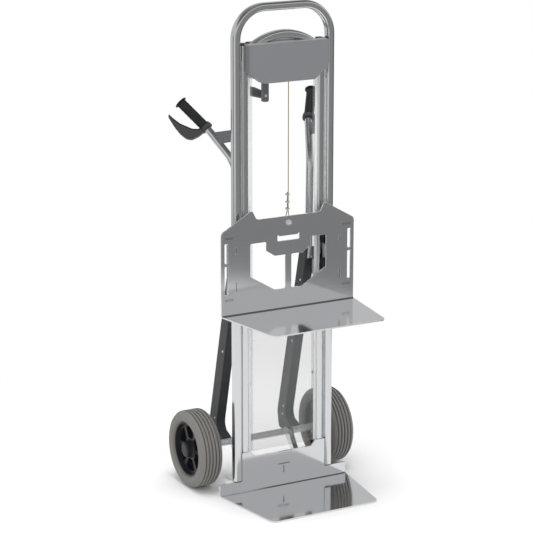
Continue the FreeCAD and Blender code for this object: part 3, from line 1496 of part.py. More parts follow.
def make_slide_shoes():
    """Plastic sleeves that slide on the hoop's legs, two on each side."""
    clear = S.shoe_clearance
    inner_wall = post_inner - S.guide_strip_sheet - clear
    outside = [(inner_wall - 3.2, plate_back), (cheek_in, post_rear + 6)]
    pieces = []
    for height in shoe_heights:
        (x0, y0), (x1, y1) = outside
        shell = rounded([(x0, y0, 0), (x1, y0, 0), (x1, y1, 0), (x0, y1, 0)], [3, 0, 0, 3])
        way = [
            (inner_wall, post_front - clear, 0), (post_outer + clear, post_front - clear, 0),
            (post_outer + clear, post_rear + clear, 0), (inner_wall, post_rear + clear, 0),
        ]
        shoe = level("slide_shoe_blank", shell + rounded(way, 4.0), height - shoe_tall / 2, shoe_tall)
        drills = [
            pin("shoe_drill", S.screw_diameter / 2 + 0.05,
                Vector(cheek_in - 4.5, S.post_back, height + step), X_AXIS, 10)
            for step in (-14, 14)
        ]
        pieces.append(cut("slide_shoe", shoe, drills))
    return node("slide_shoes", pair("slide_shoes", group("slide_shoes_right", pieces)))


def make_shoe_screws():
    """Screws through the cheeks into the slide shoes."""
    pieces = []
    for y, z in shoe_screw_places():
        face = Vector(cheek_in + cheek_thick, y, z)
        pieces.append(pan_screw("shoe_screw", S.screw_diameter, face, -X_AXIS, cheek_thick + 4))
    return node("shoe_screws", pair("shoe_screws", group("shoe_screws_right", pieces)))


rope_x = drum_x + S.drum_radius + S.rope_diameter / 2
rope_y = -S.rope_lead
eye_z = S.platform_height + S.eye_rise
eye_radius = 6.0


def make_eye_bolt():
    """The eye bolt through the backplate that the rope pulls on."""
    wire_radius = 2.5
    eye = doc.addObject("Part::Torus", "eye_ring")
    eye.Radius1 = eye_radius
    eye.Radius2 = wire_radius
    eye.Placement = Placement(Vector(0, rope_y, eye_z), Rotation(Z_AXIS, X_AXIS))
    shank = pin("eye_shank", 3.5, Vector(0, plate_face - 8, eye_z), Y_AXIS,
                rope_y - eye_radius - plate_face + 8)
    collar = pin("eye_collar", 5.5, Vector(0, plate_back, eye_z), Y_AXIS, 1.5)
    return node("eye_bolt", fuse("eye_bolt", [eye, shank, collar]))


def make_cap_nut():
    """The domed nut and washer on the backplate's face."""
    outline = profile((0, 3.55), (0, 10), (1.6, 10), (1.6, 7), (8.2, 7), (8.2, 3.55))
    washer_nut = turned("cap_nut_base", outline, Vector(0, plate_face, eye_z), -Y_AXIS)
    dome = profile((8.2, 0), (8.2, 6.6), (11, 5.4), (12.8, 3), (13.4, 0))
    top = turned("cap_nut_dome", dome, Vector(0, plate_face, eye_z), -Y_AXIS)
    return node("cap_nut", fuse("cap_nut", [washer_nut, top]))


loop_top = eye_z + 36
clip_heights = (eye_z + 43, eye_z + 65, eye_z + 90)


def make_rope_eye():
    """The rope's end loop round the eye, with its short tail."""
    radius = S.rope_diameter / 2
    tail_x = rope_x - S.rope_diameter - 0.4
    bottom = eye_z - radius - 0.6
    route = [
        (rope_x, rope_y, loop_top), (rope_x + 1.5, rope_y, eye_z + 12), (rope_x - 1, rope_y, bottom),
        (-rope_x, rope_y, bottom), (-4.0, rope_y, eye_z + 14), (tail_x, rope_y, loop_top + 4),
        (tail_x, rope_y, clip_heights[2] + 8),
    ]
    path = wire(rounded(route, [0, 8, 2.6, 2.6, 8, 8, 0], closed=False))
    ring = Part.Wire([Part.makeCircle(radius, Vector(*route[0]),
                                      (Vector(*route[1]) - Vector(*route[0])).normalize())])
    loop = doc.addObject("Part::Feature", "rope_eye")
    loop.Shape = path.makePipeShell([ring], True, False)
    return node("rope_eye", loop)


def make_rope_clips():
    """Wire-rope clips that clamp the rope's tail to the rope."""
    pieces = []
    tail_x = rope_x - S.rope_diameter - 0.4
    middle = (rope_x + tail_x) / 2
    for height in clip_heights:
        saddle = box("clip_saddle", (middle - 5.5, rope_y + 1.8, height - 3),
                     (middle + 5.5, rope_y + 6, height + 3))
        bridge = box("clip_bridge", (middle - 5.5, rope_y - 4.5, height - 2),
                     (middle + 5.5, rope_y - 1.8, height + 2))
        legs = [
            box("clip_leg", (middle + side * 4.7 - 1, rope_y - 3, height - 1.4),
                (middle + side * 4.7 + 1, rope_y + 8, height + 1.4))
            for side, _ in SIDES
        ]
        pieces.append(fuse("rope_clip", [saddle, bridge] + legs))
    return node("rope_clips", group("rope_clips", pieces))


def make_rope():
    """The straight run of rope from the drum down to its loop."""
    start = Vector(rope_x, rope_y, loop_top + S.seat_gap)
    return node("rope", pin("rope", "Sizes.rope_diameter / 2", start, Z_AXIS, drum_height - start.z))


make_hoop()
for side, name in SIDES:
    make_rail(side, name)
make_tube_caps()
make_bow()
make_guide_strips()
make_toe_plate()
make_toe_ribs()
make_base_channel()
make_rail_feet()
make_axle()
make_axle_retainers()
for side, name in SIDES:
    make_tyre(side, name)
    make_rim(side, name)
    make_wheel_bearings(side, name)
    make_hub_cap(side, name)
    make_skid(side, name)
    make_handle_tube(side, name)
    make_grip(side, name)
    make_knuckle_guard(side, name)
make_skid_rivets()
make_axle_struts()
make_skid_brackets()
make_handle_brackets()
make_winch_plate()
make_winch_cover()
make_winch_housing()
make_housing_lid()
make_drum_shaft()
make_drum()
make_drum_gear()
make_crank_shaft()
make_crank_bushes()
make_ratchet()
make_brake_discs()
make_pawl()
make_crank_arm()
make_crank_pin()
make_crank_grip()
make_guard_panel()
make_frame_screws()
make_frame_bolts()
make_lift_platform()
make_carriage_cheeks()
make_carriage_gussets()
make_slide_shoes()
make_shoe_screws()
make_eye_bolt()
make_cap_nut()
make_rope_eye()
make_rope_clips()
make_rope()
doc.recompute()

for item in doc.Objects:
    if any(state in ("Invalid", "Error") for state in item.State):
        raise RuntimeError(f"{item.Label} failed: {item.State}")
os.makedirs("parts", exist_ok=True)
for label, feature in nodes:
    shape = feature.Shape
    if shape.isNull() or not shape.isValid() or not shape.Solids:
        raise RuntimeError(f"{label} has no valid solid")
    shape.exportStep(os.path.join("parts", f"{label}.step"))
    print(f"{label}: {len(shape.Solids)} solid(s), {shape.Volume / 1000:.1f} cm3")
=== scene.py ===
"""Lifting sack truck: materials, finer meshes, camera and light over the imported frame.

Meshes are made in millimetres. Objects, lamps and the camera stand in metres.
"""
import logging
import math
from dataclasses import dataclass, field
from enum import Enum

import bmesh
import bpy
from mathutils import Matrix, Vector


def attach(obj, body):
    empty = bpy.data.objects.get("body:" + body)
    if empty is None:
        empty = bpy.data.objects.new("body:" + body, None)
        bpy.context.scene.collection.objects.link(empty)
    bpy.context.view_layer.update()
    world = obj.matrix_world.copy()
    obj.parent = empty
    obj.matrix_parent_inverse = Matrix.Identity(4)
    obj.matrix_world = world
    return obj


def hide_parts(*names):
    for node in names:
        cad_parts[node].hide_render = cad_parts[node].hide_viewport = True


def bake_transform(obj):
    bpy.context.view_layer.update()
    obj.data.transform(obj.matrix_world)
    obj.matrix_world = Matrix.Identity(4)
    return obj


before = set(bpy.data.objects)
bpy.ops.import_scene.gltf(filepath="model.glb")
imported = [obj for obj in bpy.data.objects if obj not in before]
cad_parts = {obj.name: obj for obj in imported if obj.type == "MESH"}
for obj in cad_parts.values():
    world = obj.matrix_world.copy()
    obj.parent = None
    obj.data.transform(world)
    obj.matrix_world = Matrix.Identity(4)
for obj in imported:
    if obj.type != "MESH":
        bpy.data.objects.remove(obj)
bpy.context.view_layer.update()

MM = 0.001
SIDES = ((-1, "left"), (1, "right"))
X_AXIS, Y_AXIS, Z_AXIS = Vector((1, 0, 0)), Vector((0, 1, 0)), Vector((0, 0, 1))
WHITE = (1.0, 1.0, 1.0, 1.0)
log = logging.getLogger("scene")


# Shader nodes


def linear(code: str) -> tuple[float, float, float, float]:
    """Turn an sRGB hex colour into linear values.

    Args:
        code: six hex digits.

    Returns:
        Red, green, blue and full alpha, linear.
    """
    values = [int(code[i : i + 2], 16) / 255 for i in (0, 2, 4)]
    flat = [v / 12.92 if v <= 0.04045 else ((v + 0.055) / 1.055) ** 2.4 for v in values]
    return (*flat, 1.0)


def blank(owner: bpy.types.Material | bpy.types.World) -> bpy.types.NodeTree:
    """Give a material or world an empty node tree.

    Args:
        owner: material or world.

    Returns:
        The tree.
    """
    owner.use_nodes = True
    owner.node_tree.nodes.clear()
    return owner.node_tree


def add(
    tree: bpy.types.NodeTree, kind: str, inputs: dict | None = None, **settings
) -> bpy.types.Node:
    """Add one shader node, with its settings and its inputs set or linked.

    Args:
        tree: node tree.
        kind: node type name without its ShaderNode part.
        inputs: socket name or index to a value or an output socket.
        settings: attributes of the node.

    Returns:
        The node.
    """
    made = tree.nodes.new(f"ShaderNode{kind}")
    for name, value in settings.items():
        setattr(made, name, value)
    for name, value in (inputs or {}).items():
        if isinstance(value, bpy.types.NodeSocket):
            tree.links.new(value, made.inputs[name])
        else:
            made.inputs[name].default_value = value
    return made


def remap(
    tree: bpy.types.NodeTree,
    value: bpy.types.NodeSocket,
    source: tuple[float, float] = (0.0, 1.0),
    target: tuple[float, float] = (0.0, 1.0),
    smooth: bool = False,
) -> bpy.types.NodeSocket:
    """Carry a value from one range to another and hold it at the ends.

    Args:
        tree: node tree.
        value: the value.
        source: range that it comes from.
        target: range that it goes to.
        smooth: whether the way eases in and out.

    Returns:
        The new value.
    """
    ends = {"From Min": source[0], "From Max": source[1], "To Min": target[0], "To Max": target[1]}
    way = "SMOOTHSTEP" if smooth else "LINEAR"
    return add(tree, "MapRange", {"Value": value, **ends}, interpolation_type=way).outputs["Result"]


def multiply(
    tree: bpy.types.NodeTree, first: bpy.types.NodeSocket, second: bpy.types.NodeSocket | float
) -> bpy.types.NodeSocket:
    """Product of two values.

    Args:
        tree: node tree.
        first: a value.
        second: the other value.

    Returns:
        The product.
    """
    return add(tree, "Math", {0: first, 1: second}, operation="MULTIPLY").outputs["Value"]


def greys(
    tree: bpy.types.NodeTree, value: bpy.types.NodeSocket, stops: list[tuple[float, float]]
) -> bpy.types.NodeSocket:
    """Grey levels along a value from 0 to 1.

    Args:
        tree: node tree.
        value: the value.
        stops: position and grey level of each stop.

    Returns:
        The grey colour.
    """
    made = add(tree, "ValToRGB", {"Fac": value})
    elements = made.color_ramp.elements
    while len(elements) < len(stops):
        elements.new(0.5)  # moved below
    for element, (position, grey) in zip(elements, stops):
        element.position = position
        element.color = (grey, grey, grey, 1)
    return made.outputs["Color"]


def mixed(
    tree: bpy.types.NodeTree,
    share: bpy.types.NodeSocket | float,
    first: bpy.types.NodeSocket,
    second: bpy.types.NodeSocket,
) -> bpy.types.NodeSocket:
    """Mix two shaders.

    Args:
        tree: node tree.
        share: share of the second one.
        first: a shader.
        second: the other shader.

    Returns:
        The mixed shader.
    """
    return add(tree, "MixShader", {0: share, 1: first, 2: second}).outputs["Shader"]


# Finishes


class Surface(Enum):
    """How a surface is marked by the way it was made."""

    DRAWN = "lines along the extrusion"
    POLISHED = "bright polish"
    ROLLED = "lines across the sheet"
    PLATED = "soft cloudy plating"
    COATED = "orange peel of a powder coat"
    MOULDED = "fine moulded grain"
    RUBBER = "fine matt rubber"
    CLEAR = "clear sheet"
    STRAND = "smooth wire"


# Noise scale along X, Y and Z in cycles per metre, bump height in metres, roughness swing
MARKS = {
    Surface.DRAWN: ((2500.0, 2500.0, 12.0), 0.8e-6, 0.05),
    Surface.POLISHED: ((60.0, 60.0, 60.0), 0.0, 0.03),
    Surface.ROLLED: ((14.0, 1800.0, 1800.0), 0.8e-6, 0.05),
    Surface.PLATED: ((350.0, 350.0, 350.0), 2e-6, 0.12),
    Surface.COATED: ((900.0, 900.0, 900.0), 12e-6, 0.06),
    Surface.MOULDED: ((1600.0, 1600.0, 1600.0), 14e-6, 0.08),
    Surface.RUBBER: ((1100.0, 1100.0, 1100.0), 16e-6, 0.08),
    Surface.CLEAR: ((20.0, 20.0, 20.0), 0.0, 0.02),
    Surface.STRAND: ((400.0, 400.0, 60.0), 1e-6, 0.08),
}
NOISE_DETAIL = 3.0
# Lowest roughness that a finish may reach
SMOOTHEST = 0.02
# What a clear sheet lets through, and the painted highlight on a sheet's cut edges
CLEAR_TINT = "f2f2f2"
EDGE_HIGHLIGHT_COLOUR = "f7f7f7"
# Cosine between the true and the rounded normal, from the flat sheet to its cut edge, over which
# the painted edge highlight comes in
EDGE_COSINES = (0.995, 0.93)


@dataclass(frozen=True)
class Finish:
    """A real finish: its record slot, colour, gloss and marks."""

    name: str
    slot: str
    colour: str
    roughness: float
    metallic: float
    surface: Surface
    specular: float = 0.5
    see_through: float = 0.0
    edge_highlight_radius: float = 0.0

    def material(self) -> bpy.types.Material:
        """Build the material once and give it again on later calls.

        Returns:
            The material.
        """
        made = bpy.data.materials.get(self.name)
        if made:
            return made
        made = bpy.data.materials.new(self.name)
        tree = blank(made)
        scale, height, swing = MARKS[self.surface]
        place = add(tree, "TexCoord").outputs["Object"]
        spread = add(tree, "Mapping", {"Vector": place, "Scale": scale}).outputs["Vector"]
        noise = add(tree, "TexNoise", {"Vector": spread, "Scale": 1.0, "Detail": NOISE_DETAIL})
        marks = noise.outputs["Fac"]
        gloss = (max(SMOOTHEST, self.roughness - swing), self.roughness + swing)
        shader = add(
            tree,
            "BsdfPrincipled",
            {
                "Base Color": linear(self.colour),
                "Metallic": self.metallic,
                "Specular IOR Level": self.specular,
                "Roughness": remap(tree, marks, target=gloss),
            },
        )
        if height:
            bump = add(tree, "Bump", {"Height": marks, "Distance": height, "Strength": 1.0})
            tree.links.new(bump.outputs["Normal"], shader.inputs["Normal"])
        surface = shader.outputs["BSDF"]
        if self.edge_highlight_radius:
            surface = self.add_edge_highlight(tree, surface)
        if self.see_through:
            clear = add(tree, "BsdfTransparent", {"Color": linear(CLEAR_TINT)})
            surface = mixed(tree, self.see_through, surface, clear.outputs["BSDF"])
        add(tree, "OutputMaterial", {"Surface": surface})
        return made

    def add_edge_highlight(
        self, tree: bpy.types.NodeTree, surface: bpy.types.NodeSocket
    ) -> bpy.types.NodeSocket:
        """Paint a highlight on a sheet's cut edges: a near-white matt shade mixed in where the
        rounded normal turns away from the true one, standing for the light the edges catch.

        Args:
            tree: the material's nodes.
            surface: shader of the sheet.

        Returns:
            Shader with the painted edge highlight.
        """
        rounded = add(tree, "Bevel", {"Radius": self.edge_highlight_radius}, samples=4).outputs["Normal"]
        true = add(tree, "NewGeometry").outputs["Normal"]
        same = add(tree, "VectorMath", {0: rounded, 1: true}, operation="DOT_PRODUCT")
        near = remap(tree, same.outputs["Value"], EDGE_COSINES)
        # Painted highlight: a near-white matt shade mixed in along the sheet's cut edges
        matt = add(tree, "BsdfDiffuse", {"Color": linear(EDGE_HIGHLIGHT_COLOUR)})
        return mixed(tree, near, surface, matt.outputs["BSDF"])


# Bright anodised extrusions of the hoop, rails and bow
TUBE = Finish("bright_anodised_tube", "polished_tube", "e6e7e8", 0.14, 1.0, Surface.DRAWN)
# Bright polished tube of the handles
BRIGHT = Finish("bright_polished_tube", "polished_tube", "ecedee", 0.24, 1.0, Surface.POLISHED)
# Bright rolled sheet of the plates, cheeks and base, with a painted highlight on its cut edges
SHEET = Finish(
    "bright_rolled_sheet", "bright_plate", "e4e5e7", 0.1, 1.0, Surface.ROLLED, edge_highlight_radius=1.3 * MM
)
# Zinc plated fasteners, axle and winch pieces
ZINC = Finish("zinc_plated_steel", "zinc_steel", "dfe1e3", 0.28, 0.6, Surface.PLATED)
# Dark powder coat of the crank arm, the handle brackets and the brake
DARK = Finish("dark_powder_coat", "dark_steel", "68696b", 0.42, 0.0, Surface.COATED)
# Grey satin coat of the winch cover
COVER = Finish("grey_satin_coat", "grey_cover", "808184", 0.36, 0.0, Surface.COATED, 0.3)
# Dark grey moulded rear legs, knuckle guards and crank grip
GREY = Finish("dark_grey_moulding", "grey_plastic", "3d3e40", 0.42, 0.0, Surface.MOULDED, 0.3)
# Black moulded caps, slide shoes, winch housing and crank end
BLACK = Finish("black_moulding", "black_plastic", "1d1e20", 0.4, 0.0, Surface.MOULDED)
# Soft black hand grips and the guards' lips
GRIP = Finish("soft_black_grip", "black_rubber", "202122", 0.5, 0.0, Surface.RUBBER, 0.35)
# Dark moulded rims and hub caps
RIM = Finish("dark_moulded_rim", "rim_plastic", "242528", 0.34, 0.0, Surface.MOULDED, 0.3)
# Grey non-marking tyres
TYRE = Finish("grey_tyre_rubber", "grey_tyre", "817f7c", 0.62, 0.0, Surface.RUBBER, 0.25)
# Pale plastic strips of the rails and posts, and the pale sheets on the rails' outer faces that
# paint a highlight in the gaps to the hoop
PALE = Finish("pale_plastic_strip", "clear_panel", "eeeff0", 0.4, 0.0, Surface.MOULDED, 0.3)
# Clear guard panel and the rails' clear lips
PANEL = Finish(
    "clear_panel_sheet", "clear_panel", "eef0f0", 0.06, 0.0, Surface.CLEAR, see_through=0.93
)
# Painted shade: dark lines in the gaps round tabs that come through a plate
GAP_SHADE = Finish("painted_gap_shade", "black_plastic", "2c2d2f", 0.6, 0.0, Surface.MOULDED)
# Bearing bronze of the crank's bushes
BRONZE = Finish("bearing_bronze", "bronze", "b08a4a", 0.3, 1.0, Surface.PLATED)
# Laid steel rope with a straw-coloured dressing
ROPE = Finish("laid_wire_rope", "wire_rope", "b3a274", 0.38, 0.75, Surface.STRAND)


# Outlines and meshes

# Millimetres within which two points or heights are the same
SAME_PLACE = 1e-6
# Least cosine of half a bend for which a section is widened to keep the tube's width
LEAST_MITRE = 0.5


def fillet(
    points: list, radii: float | list[float], closed: bool = True, steps: int = 6
) -> list[Vector]:
    """Round the corners of a run of points with true arcs.

    Args:
        points: corners.
        radii: one radius, or one for each corner.
        closed: whether the last point joins the first.
        steps: pieces of each arc.

    Returns:
        Points along the rounded run.
    """
    corners = [Vector(p) for p in points]
    count = len(corners)
    sizes = radii if isinstance(radii, list) else [radii] * count
    out = []
    for i, corner in enumerate(corners):
        if sizes[i] <= 0 or (not closed and i in (0, count - 1)):
            out.append(corner)
            continue
        back = (corners[i - 1] - corner).normalized()
        on = (corners[(i + 1) % count] - corner).normalized()
        half = back.angle(on) / 2
        middle = corner + (back + on).normalized() * (sizes[i] / math.sin(half))
        start = corner + back * (sizes[i] / math.tan(half)) - middle
        end = corner + on * (sizes[i] / math.tan(half)) - middle
        turn = start.angle(end)
        for k in range(steps + 1):
            share = k / steps
            out.append(
                middle
                + start * (math.sin((1 - share) * turn) / math.sin(turn))
                + end * (math.sin(share * turn) / math.sin(turn))
            )
    return out


def rounded(
    rows: list[tuple[float, float, float]], closed: bool = True, steps: int = 4
) -> list[Vector]:
    """Outline in the X-Y plane from rows of X, Y and corner radius.

    Args:
        rows: the corners.
        closed: whether the last corner joins the first.
        steps: pieces of each arc.

    Returns:
        Points.
    """
    return fillet([(x, y, 0.0) for x, y, _ in rows], [row[2] for row in rows], closed, steps)


def circle_section(radius: float, count: int) -> list[Vector]:
    """Outline of a circle.

    Args:
        radius: radius.
        count: number of sides.

    Returns:
        Points.
    """
    angles = [math.tau * i / count for i in range(count)]
    return [Vector((radius * math.cos(a), radius * math.sin(a), 0)) for a in angles]


def block_section(width: float, depth: float, radius: float, steps: int) -> list[Vector]:
    """Outline of a rectangle with round corners.

    Args:
        width: size along X.
        depth: size along Y.
        radius: corner radius.
        steps: pieces of each corner.

    Returns:
        Points.
    """
    w, d = width / 2, depth / 2
    return fillet([(-w, -d, 0), (w, -d, 0), (w, d, 0), (-w, d, 0)], radius, steps=steps)


def outline_face(bm: bmesh.types.BMesh, points: list[Vector]) -> bmesh.types.BMFace:
    """One face from an outline.

    Args:
        bm: mesh.
        points: outline.

    Returns:
        The face.
    """
    return bm.faces.new([bm.verts.new(p) for p in points])


def follow(points: list[Vector], side: Vector) -> list[Matrix]:
    """Frames along a path whose first axis stays as near as it can to a side direction.

    Args:
        points: path.
        side: direction of the frames' X axis.

    Returns:
        One matrix for each point.
    """
    frames = []
    last = len(points) - 1
    for i, point in enumerate(points):
        ahead = (points[min(i + 1, last)] - point).normalized() if i < last else Vector()
        behind = (point - points[max(i - 1, 0)]).normalized() if i > 0 else Vector()
        tangent = (ahead + behind).normalized()
        x = (side - tangent * side.dot(tangent)).normalized()
        side = x
        y = tangent.cross(x)
        stretch = 1.0
        if 0 < i < last:
            stretch = 1 / max(LEAST_MITRE, math.cos(ahead.angle(behind) / 2))
        frames.append(Matrix((x * stretch, y, tangent)).transposed().to_4x4())
        frames[-1].translation = point
    return frames


def sweep(bm: bmesh.types.BMesh, section: list[Vector], frames: list[Matrix]) -> None:
    """Carry a closed section through frames as one capped solid.

    Args:
        bm: mesh that receives it.
        section: outline in the frames' X-Y plane.
        frames: places along the way.
    """
    face = outline_face(bm, [frames[0] @ Vector((p.x, p.y, 0)) for p in section])
    for before, after in zip(frames, frames[1:]):
        made = bmesh.ops.extrude_face_region(bm, geom=[face])["geom"]
        verts = [g for g in made if isinstance(g, bmesh.types.BMVert)]
        face = next(g for g in made if isinstance(g, bmesh.types.BMFace))
        bmesh.ops.transform(bm, matrix=after @ before.inverted(), verts=verts)


def lathe(bm: bmesh.types.BMesh, outline: list[Vector], steps: int) -> None:
    """Spin a closed outline of (along, radius) points round the X axis.

    Args:
        bm: mesh that receives it.
        outline: points with X along the axis and Y as the radius.
        steps: pieces of the full turn.
    """
    verts = [bm.verts.new(p) for p in outline]
    edges = [bm.edges.new((a, b)) for a, b in zip(verts, verts[1:] + verts[:1])]
    bmesh.ops.spin(
        bm,
        geom=verts + edges,
        cent=(0, 0, 0),
        axis=X_AXIS,
        angle=math.tau,
        steps=steps,
        use_merge=True,
    )
    bmesh.ops.remove_doubles(bm, verts=bm.verts, dist=SAME_PLACE)


def slab(bm: bmesh.types.BMesh, outline: list[Vector], half: float, edge: float) -> None:
    """A flat piece of an outline with rounded edges on both faces.

    Args:
        bm: mesh that receives it, empty so far.
        outline: corners in the plane Z=0.
        half: half the thickness.
        edge: size of the rounded edges.
    """
    face = outline_face(bm, outline)
    bmesh.ops.translate(bm, verts=face.verts, vec=(0, 0, -half))
    grown = bmesh.ops.extrude_face_region(bm, geom=[face])["geom"]
    top = [v for v in grown if isinstance(v, bmesh.types.BMVert)]
    bmesh.ops.translate(bm, verts=top, vec=(0, 0, 2 * half))
    edges = [e for e in bm.edges if abs(e.verts[0].co.z - e.verts[1].co.z) < SAME_PLACE]
    bmesh.ops.bevel(bm, geom=edges, offset=edge, segments=3, affect="EDGES", profile=0.5)


# Pieces and carried-over nodes

# Degrees under which a node's facets are one flat face, and over which its edges are rounded
FLAT_ANGLE = 0.5
EDGE_ANGLE = 38.0


def link(name: str, data: bpy.types.ID) -> bpy.types.Object:
    """Make an object and put it in the scene.

    Args:
        name: object name.
        data: mesh, lamp or camera.

    Returns:
        The object.
    """
    made = bpy.data.objects.new(name, data)
    bpy.context.scene.collection.objects.link(made)
    return made


def piece(
    name: str,
    bm: bmesh.types.BMesh,
    finish: Finish,
    body: str | None,
    replaces: tuple[str, ...] = (),
    place: Matrix | None = None,
    angle: float = 35.0,
) -> bpy.types.Object:
    """Make an object from a mesh in millimetres.

    Args:
        name: piece name.
        bm: mesh in millimetres.
        finish: its finish.
        body: CAD body that it rides on, or None.
        replaces: CAD nodes it stands for.
        place: placement in millimetres.
        angle: edges sharper than this many degrees stay sharp.

    Returns:
        The object.
    """
    if place:
        bmesh.ops.transform(bm, matrix=place, verts=bm.verts)
    bmesh.ops.transform(bm, matrix=Matrix.Scale(MM, 4), verts=bm.verts)
    bmesh.ops.recalc_face_normals(bm, faces=bm.faces)
    mesh = bpy.data.meshes.new(name)
    bm.to_mesh(mesh)
    bm.free()
    mesh.shade_smooth()
    mesh.set_sharp_from_angle(angle=math.radians(angle))
    mesh.materials.append(finish.material())
    made = link(name, mesh)
    if body:
        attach(made, body)
    if replaces:
        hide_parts(*replaces)
    log.info("piece %s: %d faces", name, len(mesh.polygons))
    return made


def dress(finish: Finish, bevel: float, *nodes: str) -> None:
    """Give CAD nodes their finish and soft edges.

    Args:
        finish: their finish.
        bevel: edge rounding in millimetres, 0 for none.
        nodes: CAD nodes.
    """
    for node in nodes:
        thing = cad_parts[node]
        thing.data.materials.clear()
        thing.data.materials.append(finish.material())
        if bevel:
            flat = thing.modifiers.new("flat faces joined", "DECIMATE")
            flat.decimate_type = "DISSOLVE"
            flat.angle_limit = math.radians(FLAT_ANGLE)
            edge = thing.modifiers.new("soft edges", "BEVEL")
            edge.limit_method = "ANGLE"
            edge.angle_limit = math.radians(EDGE_ANGLE)
            edge.width = bevel * MM
            edge.segments = 2
            edge.harden_normals = True
        log.info("node %s: %s", node, finish.name)


def tab_gap_shade(
    name: str, slots: list[tuple], body: str, line: float = 1.1, thick: float = 0.5
) -> None:
    """Dark lines of painted shade in the gaps round the ends of tabs that come through a plate.

    Args:
        name: piece name.
        slots: middle X, low and high Z, width, and the Y of the lines' front, for each slot.
        body: CAD body that the plate belongs to.
        line: width of the lines.
        thick: size of the lines along Y.
    """
    bm = bmesh.new()
    for x, low, high, width, front in slots:
        left, right = x - width / 2, x + width / 2
        bars = (
            (left, left + line, low, high),
            (right - line, right, low, high),
            (left + line, right - line, low, low + line),
            (left + line, right - line, high - line, high),
        )
        for x0, x1, z0, z1 in bars:
            size = Matrix.Diagonal((x1 - x0, thick, z1 - z0, 1.0))
            middle = Matrix.Translation(((x0 + x1) / 2, front + thick / 2, (z0 + z1) / 2))
            bmesh.ops.create_cube(bm, size=1.0, matrix=middle @ size)
    piece(name, bm, GAP_SHADE, body)


# Sub-assemblies


@dataclass
class Frame:
    """Hoop, inner rails with their strips, bow, and what stays as the CAD has it."""

    post_x: float = 171.5
    post_y: float = 11.4
    post_width: float = 26.0
    depth: float = 31.0
    corner: float = 8.0
    foot: float = 46.3
    top: float = 1614.0
    bend: float = 100.0
    rail_x: float = 140.5
    rail_y: float = 19.0
    rail_width: float = 24.0
    rail_foot: float = 141.3
    rail_top: float = 1496.7
    fin_top: float = 1447.4  # upper end of the rails' fins and strips
    bow_radius: float = 185.5
    bow_centre: float = 1338.6
    bow_y: float = 13.0
    bow_gap: float = 0.3  # between the bow's ends and the rails
    # Piece, side of the rail (-1 inward), distance to its middle, width, depth, Y and finish
    strips: tuple = (
        ("rail_strip", -1, 4.2, 9.6, 3.0, 12.0, PALE),
        ("rail_lip", -1, 13.2, 8.4, 1.6, 12.0, PANEL),
        # The pale sheet on each rail's outer face is a painted highlight in the gap to the hoop
        ("rail_gap_highlight", 1, 0.15, 0.4, 16.0, 16.5, PALE),
    )
    strip_corner: float = 0.3  # share of the strip's smaller size
    # Middle X, low and high Z, width and front Y of the painted shade lines round the tabs on the
    # toe plate's upstand
    gap_shade_slots: tuple = ((0.0, 47.8, 72.2, 4.4, 0.3), (0.0, 77.8, 82.2, 43.4, 0.3))

    def build(self) -> None:
        """Make every piece of the frame."""
        self.hoop()
        self.rails()
        self.bow()
        dress(BLACK, 0.6, "tube_caps")
        dress(PALE, 0.3, "guide_strips")
        dress(SHEET, 0.5, "toe_plate", "toe_ribs", "base_channel", "axle_struts", "skid_brackets")
        dress(ZINC, 0.2, "rail_feet", "axle", "axle_retainers")
        dress(ZINC, 0.2, "skid_rivets", "frame_screws", "frame_bolts")
        dress(DARK, 0.5, "handle_brackets")
        dress(PANEL, 0.3, "guard_panel")
        dress(GREY, 1.0, "skid_left", "skid_right")
        # Painted shade lines in the gaps round the toe plate's tabs
        tab_gap_shade("toe_tab_gap_shade", self.gap_shade_slots, "frame")

    def tube(self, route: list[Vector]) -> bmesh.types.BMesh:
        """The extrusion of the hoop and the bow along a route.

        Args:
            route: middle of the tube.

        Returns:
            The mesh.
        """
        bm = bmesh.new()
        section = block_section(self.depth, self.post_width, self.corner, steps=8)
        sweep(bm, section, follow(route, Y_AXIS))
        return bm

    def hoop(self) -> None:
        """The bent outer tube."""
        x, y = self.post_x, self.post_y
        corners = [(-x, y, self.foot), (-x, y, self.top), (x, y, self.top), (x, y, self.foot)]
        route = fillet(corners, [0, self.bend, self.bend, 0], closed=False, steps=28)
        piece("hoop_tube", self.tube(route), TUBE, "frame", ("outer_hoop",))

    def upright(self, section: list[Vector], x: float, y: float, top: float) -> bmesh.types.BMesh:
        """A straight length that stands at the height of the rails' feet.

        Args:
            section: its outline.
            x: its middle.
            y: its middle.
            top: height of its upper end.

        Returns:
            The mesh.
        """
        bm = bmesh.new()
        sweep(bm, section, [Matrix.Translation((x, y, z)) for z in (self.rail_foot, top)])
        return bm

    def rails(self) -> None:
        """The inner rails, and the upright strips along them."""
        for side, name in SIDES:
            section = block_section(self.rail_width, self.depth, self.corner, steps=8)
            bm = self.upright(section, side * self.rail_x, self.rail_y, self.rail_top)
            piece(f"rail_{name}", bm, TUBE, "frame", (f"inner_rail_{name}",))
            for kind, face, gap, width, depth, y, finish in self.strips:
                x = self.rail_x + face * self.rail_width / 2 + face * gap
                corner = min(width, depth) * self.strip_corner
                section = block_section(width, depth, corner, steps=3)
                bm = self.upright(section, side * x, y, self.fin_top)
                piece(f"{kind}_{name}", bm, finish, "frame")

    def bow(self) -> None:
        """The arched tube behind the winch cover."""
        half = math.asin((self.rail_x - self.rail_width / 2 - self.bow_gap) / self.bow_radius)
        steps = 24
        route = []
        for k in range(2 * steps + 1):
            angle = half * (k / steps - 1)
            x, rise = self.bow_radius * math.sin(angle), self.bow_radius * math.cos(angle)
            route.append(Vector((x, self.bow_y, self.bow_centre + rise)))
        piece("bow_tube", self.tube(route), TUBE, "frame", ("top_bow",))


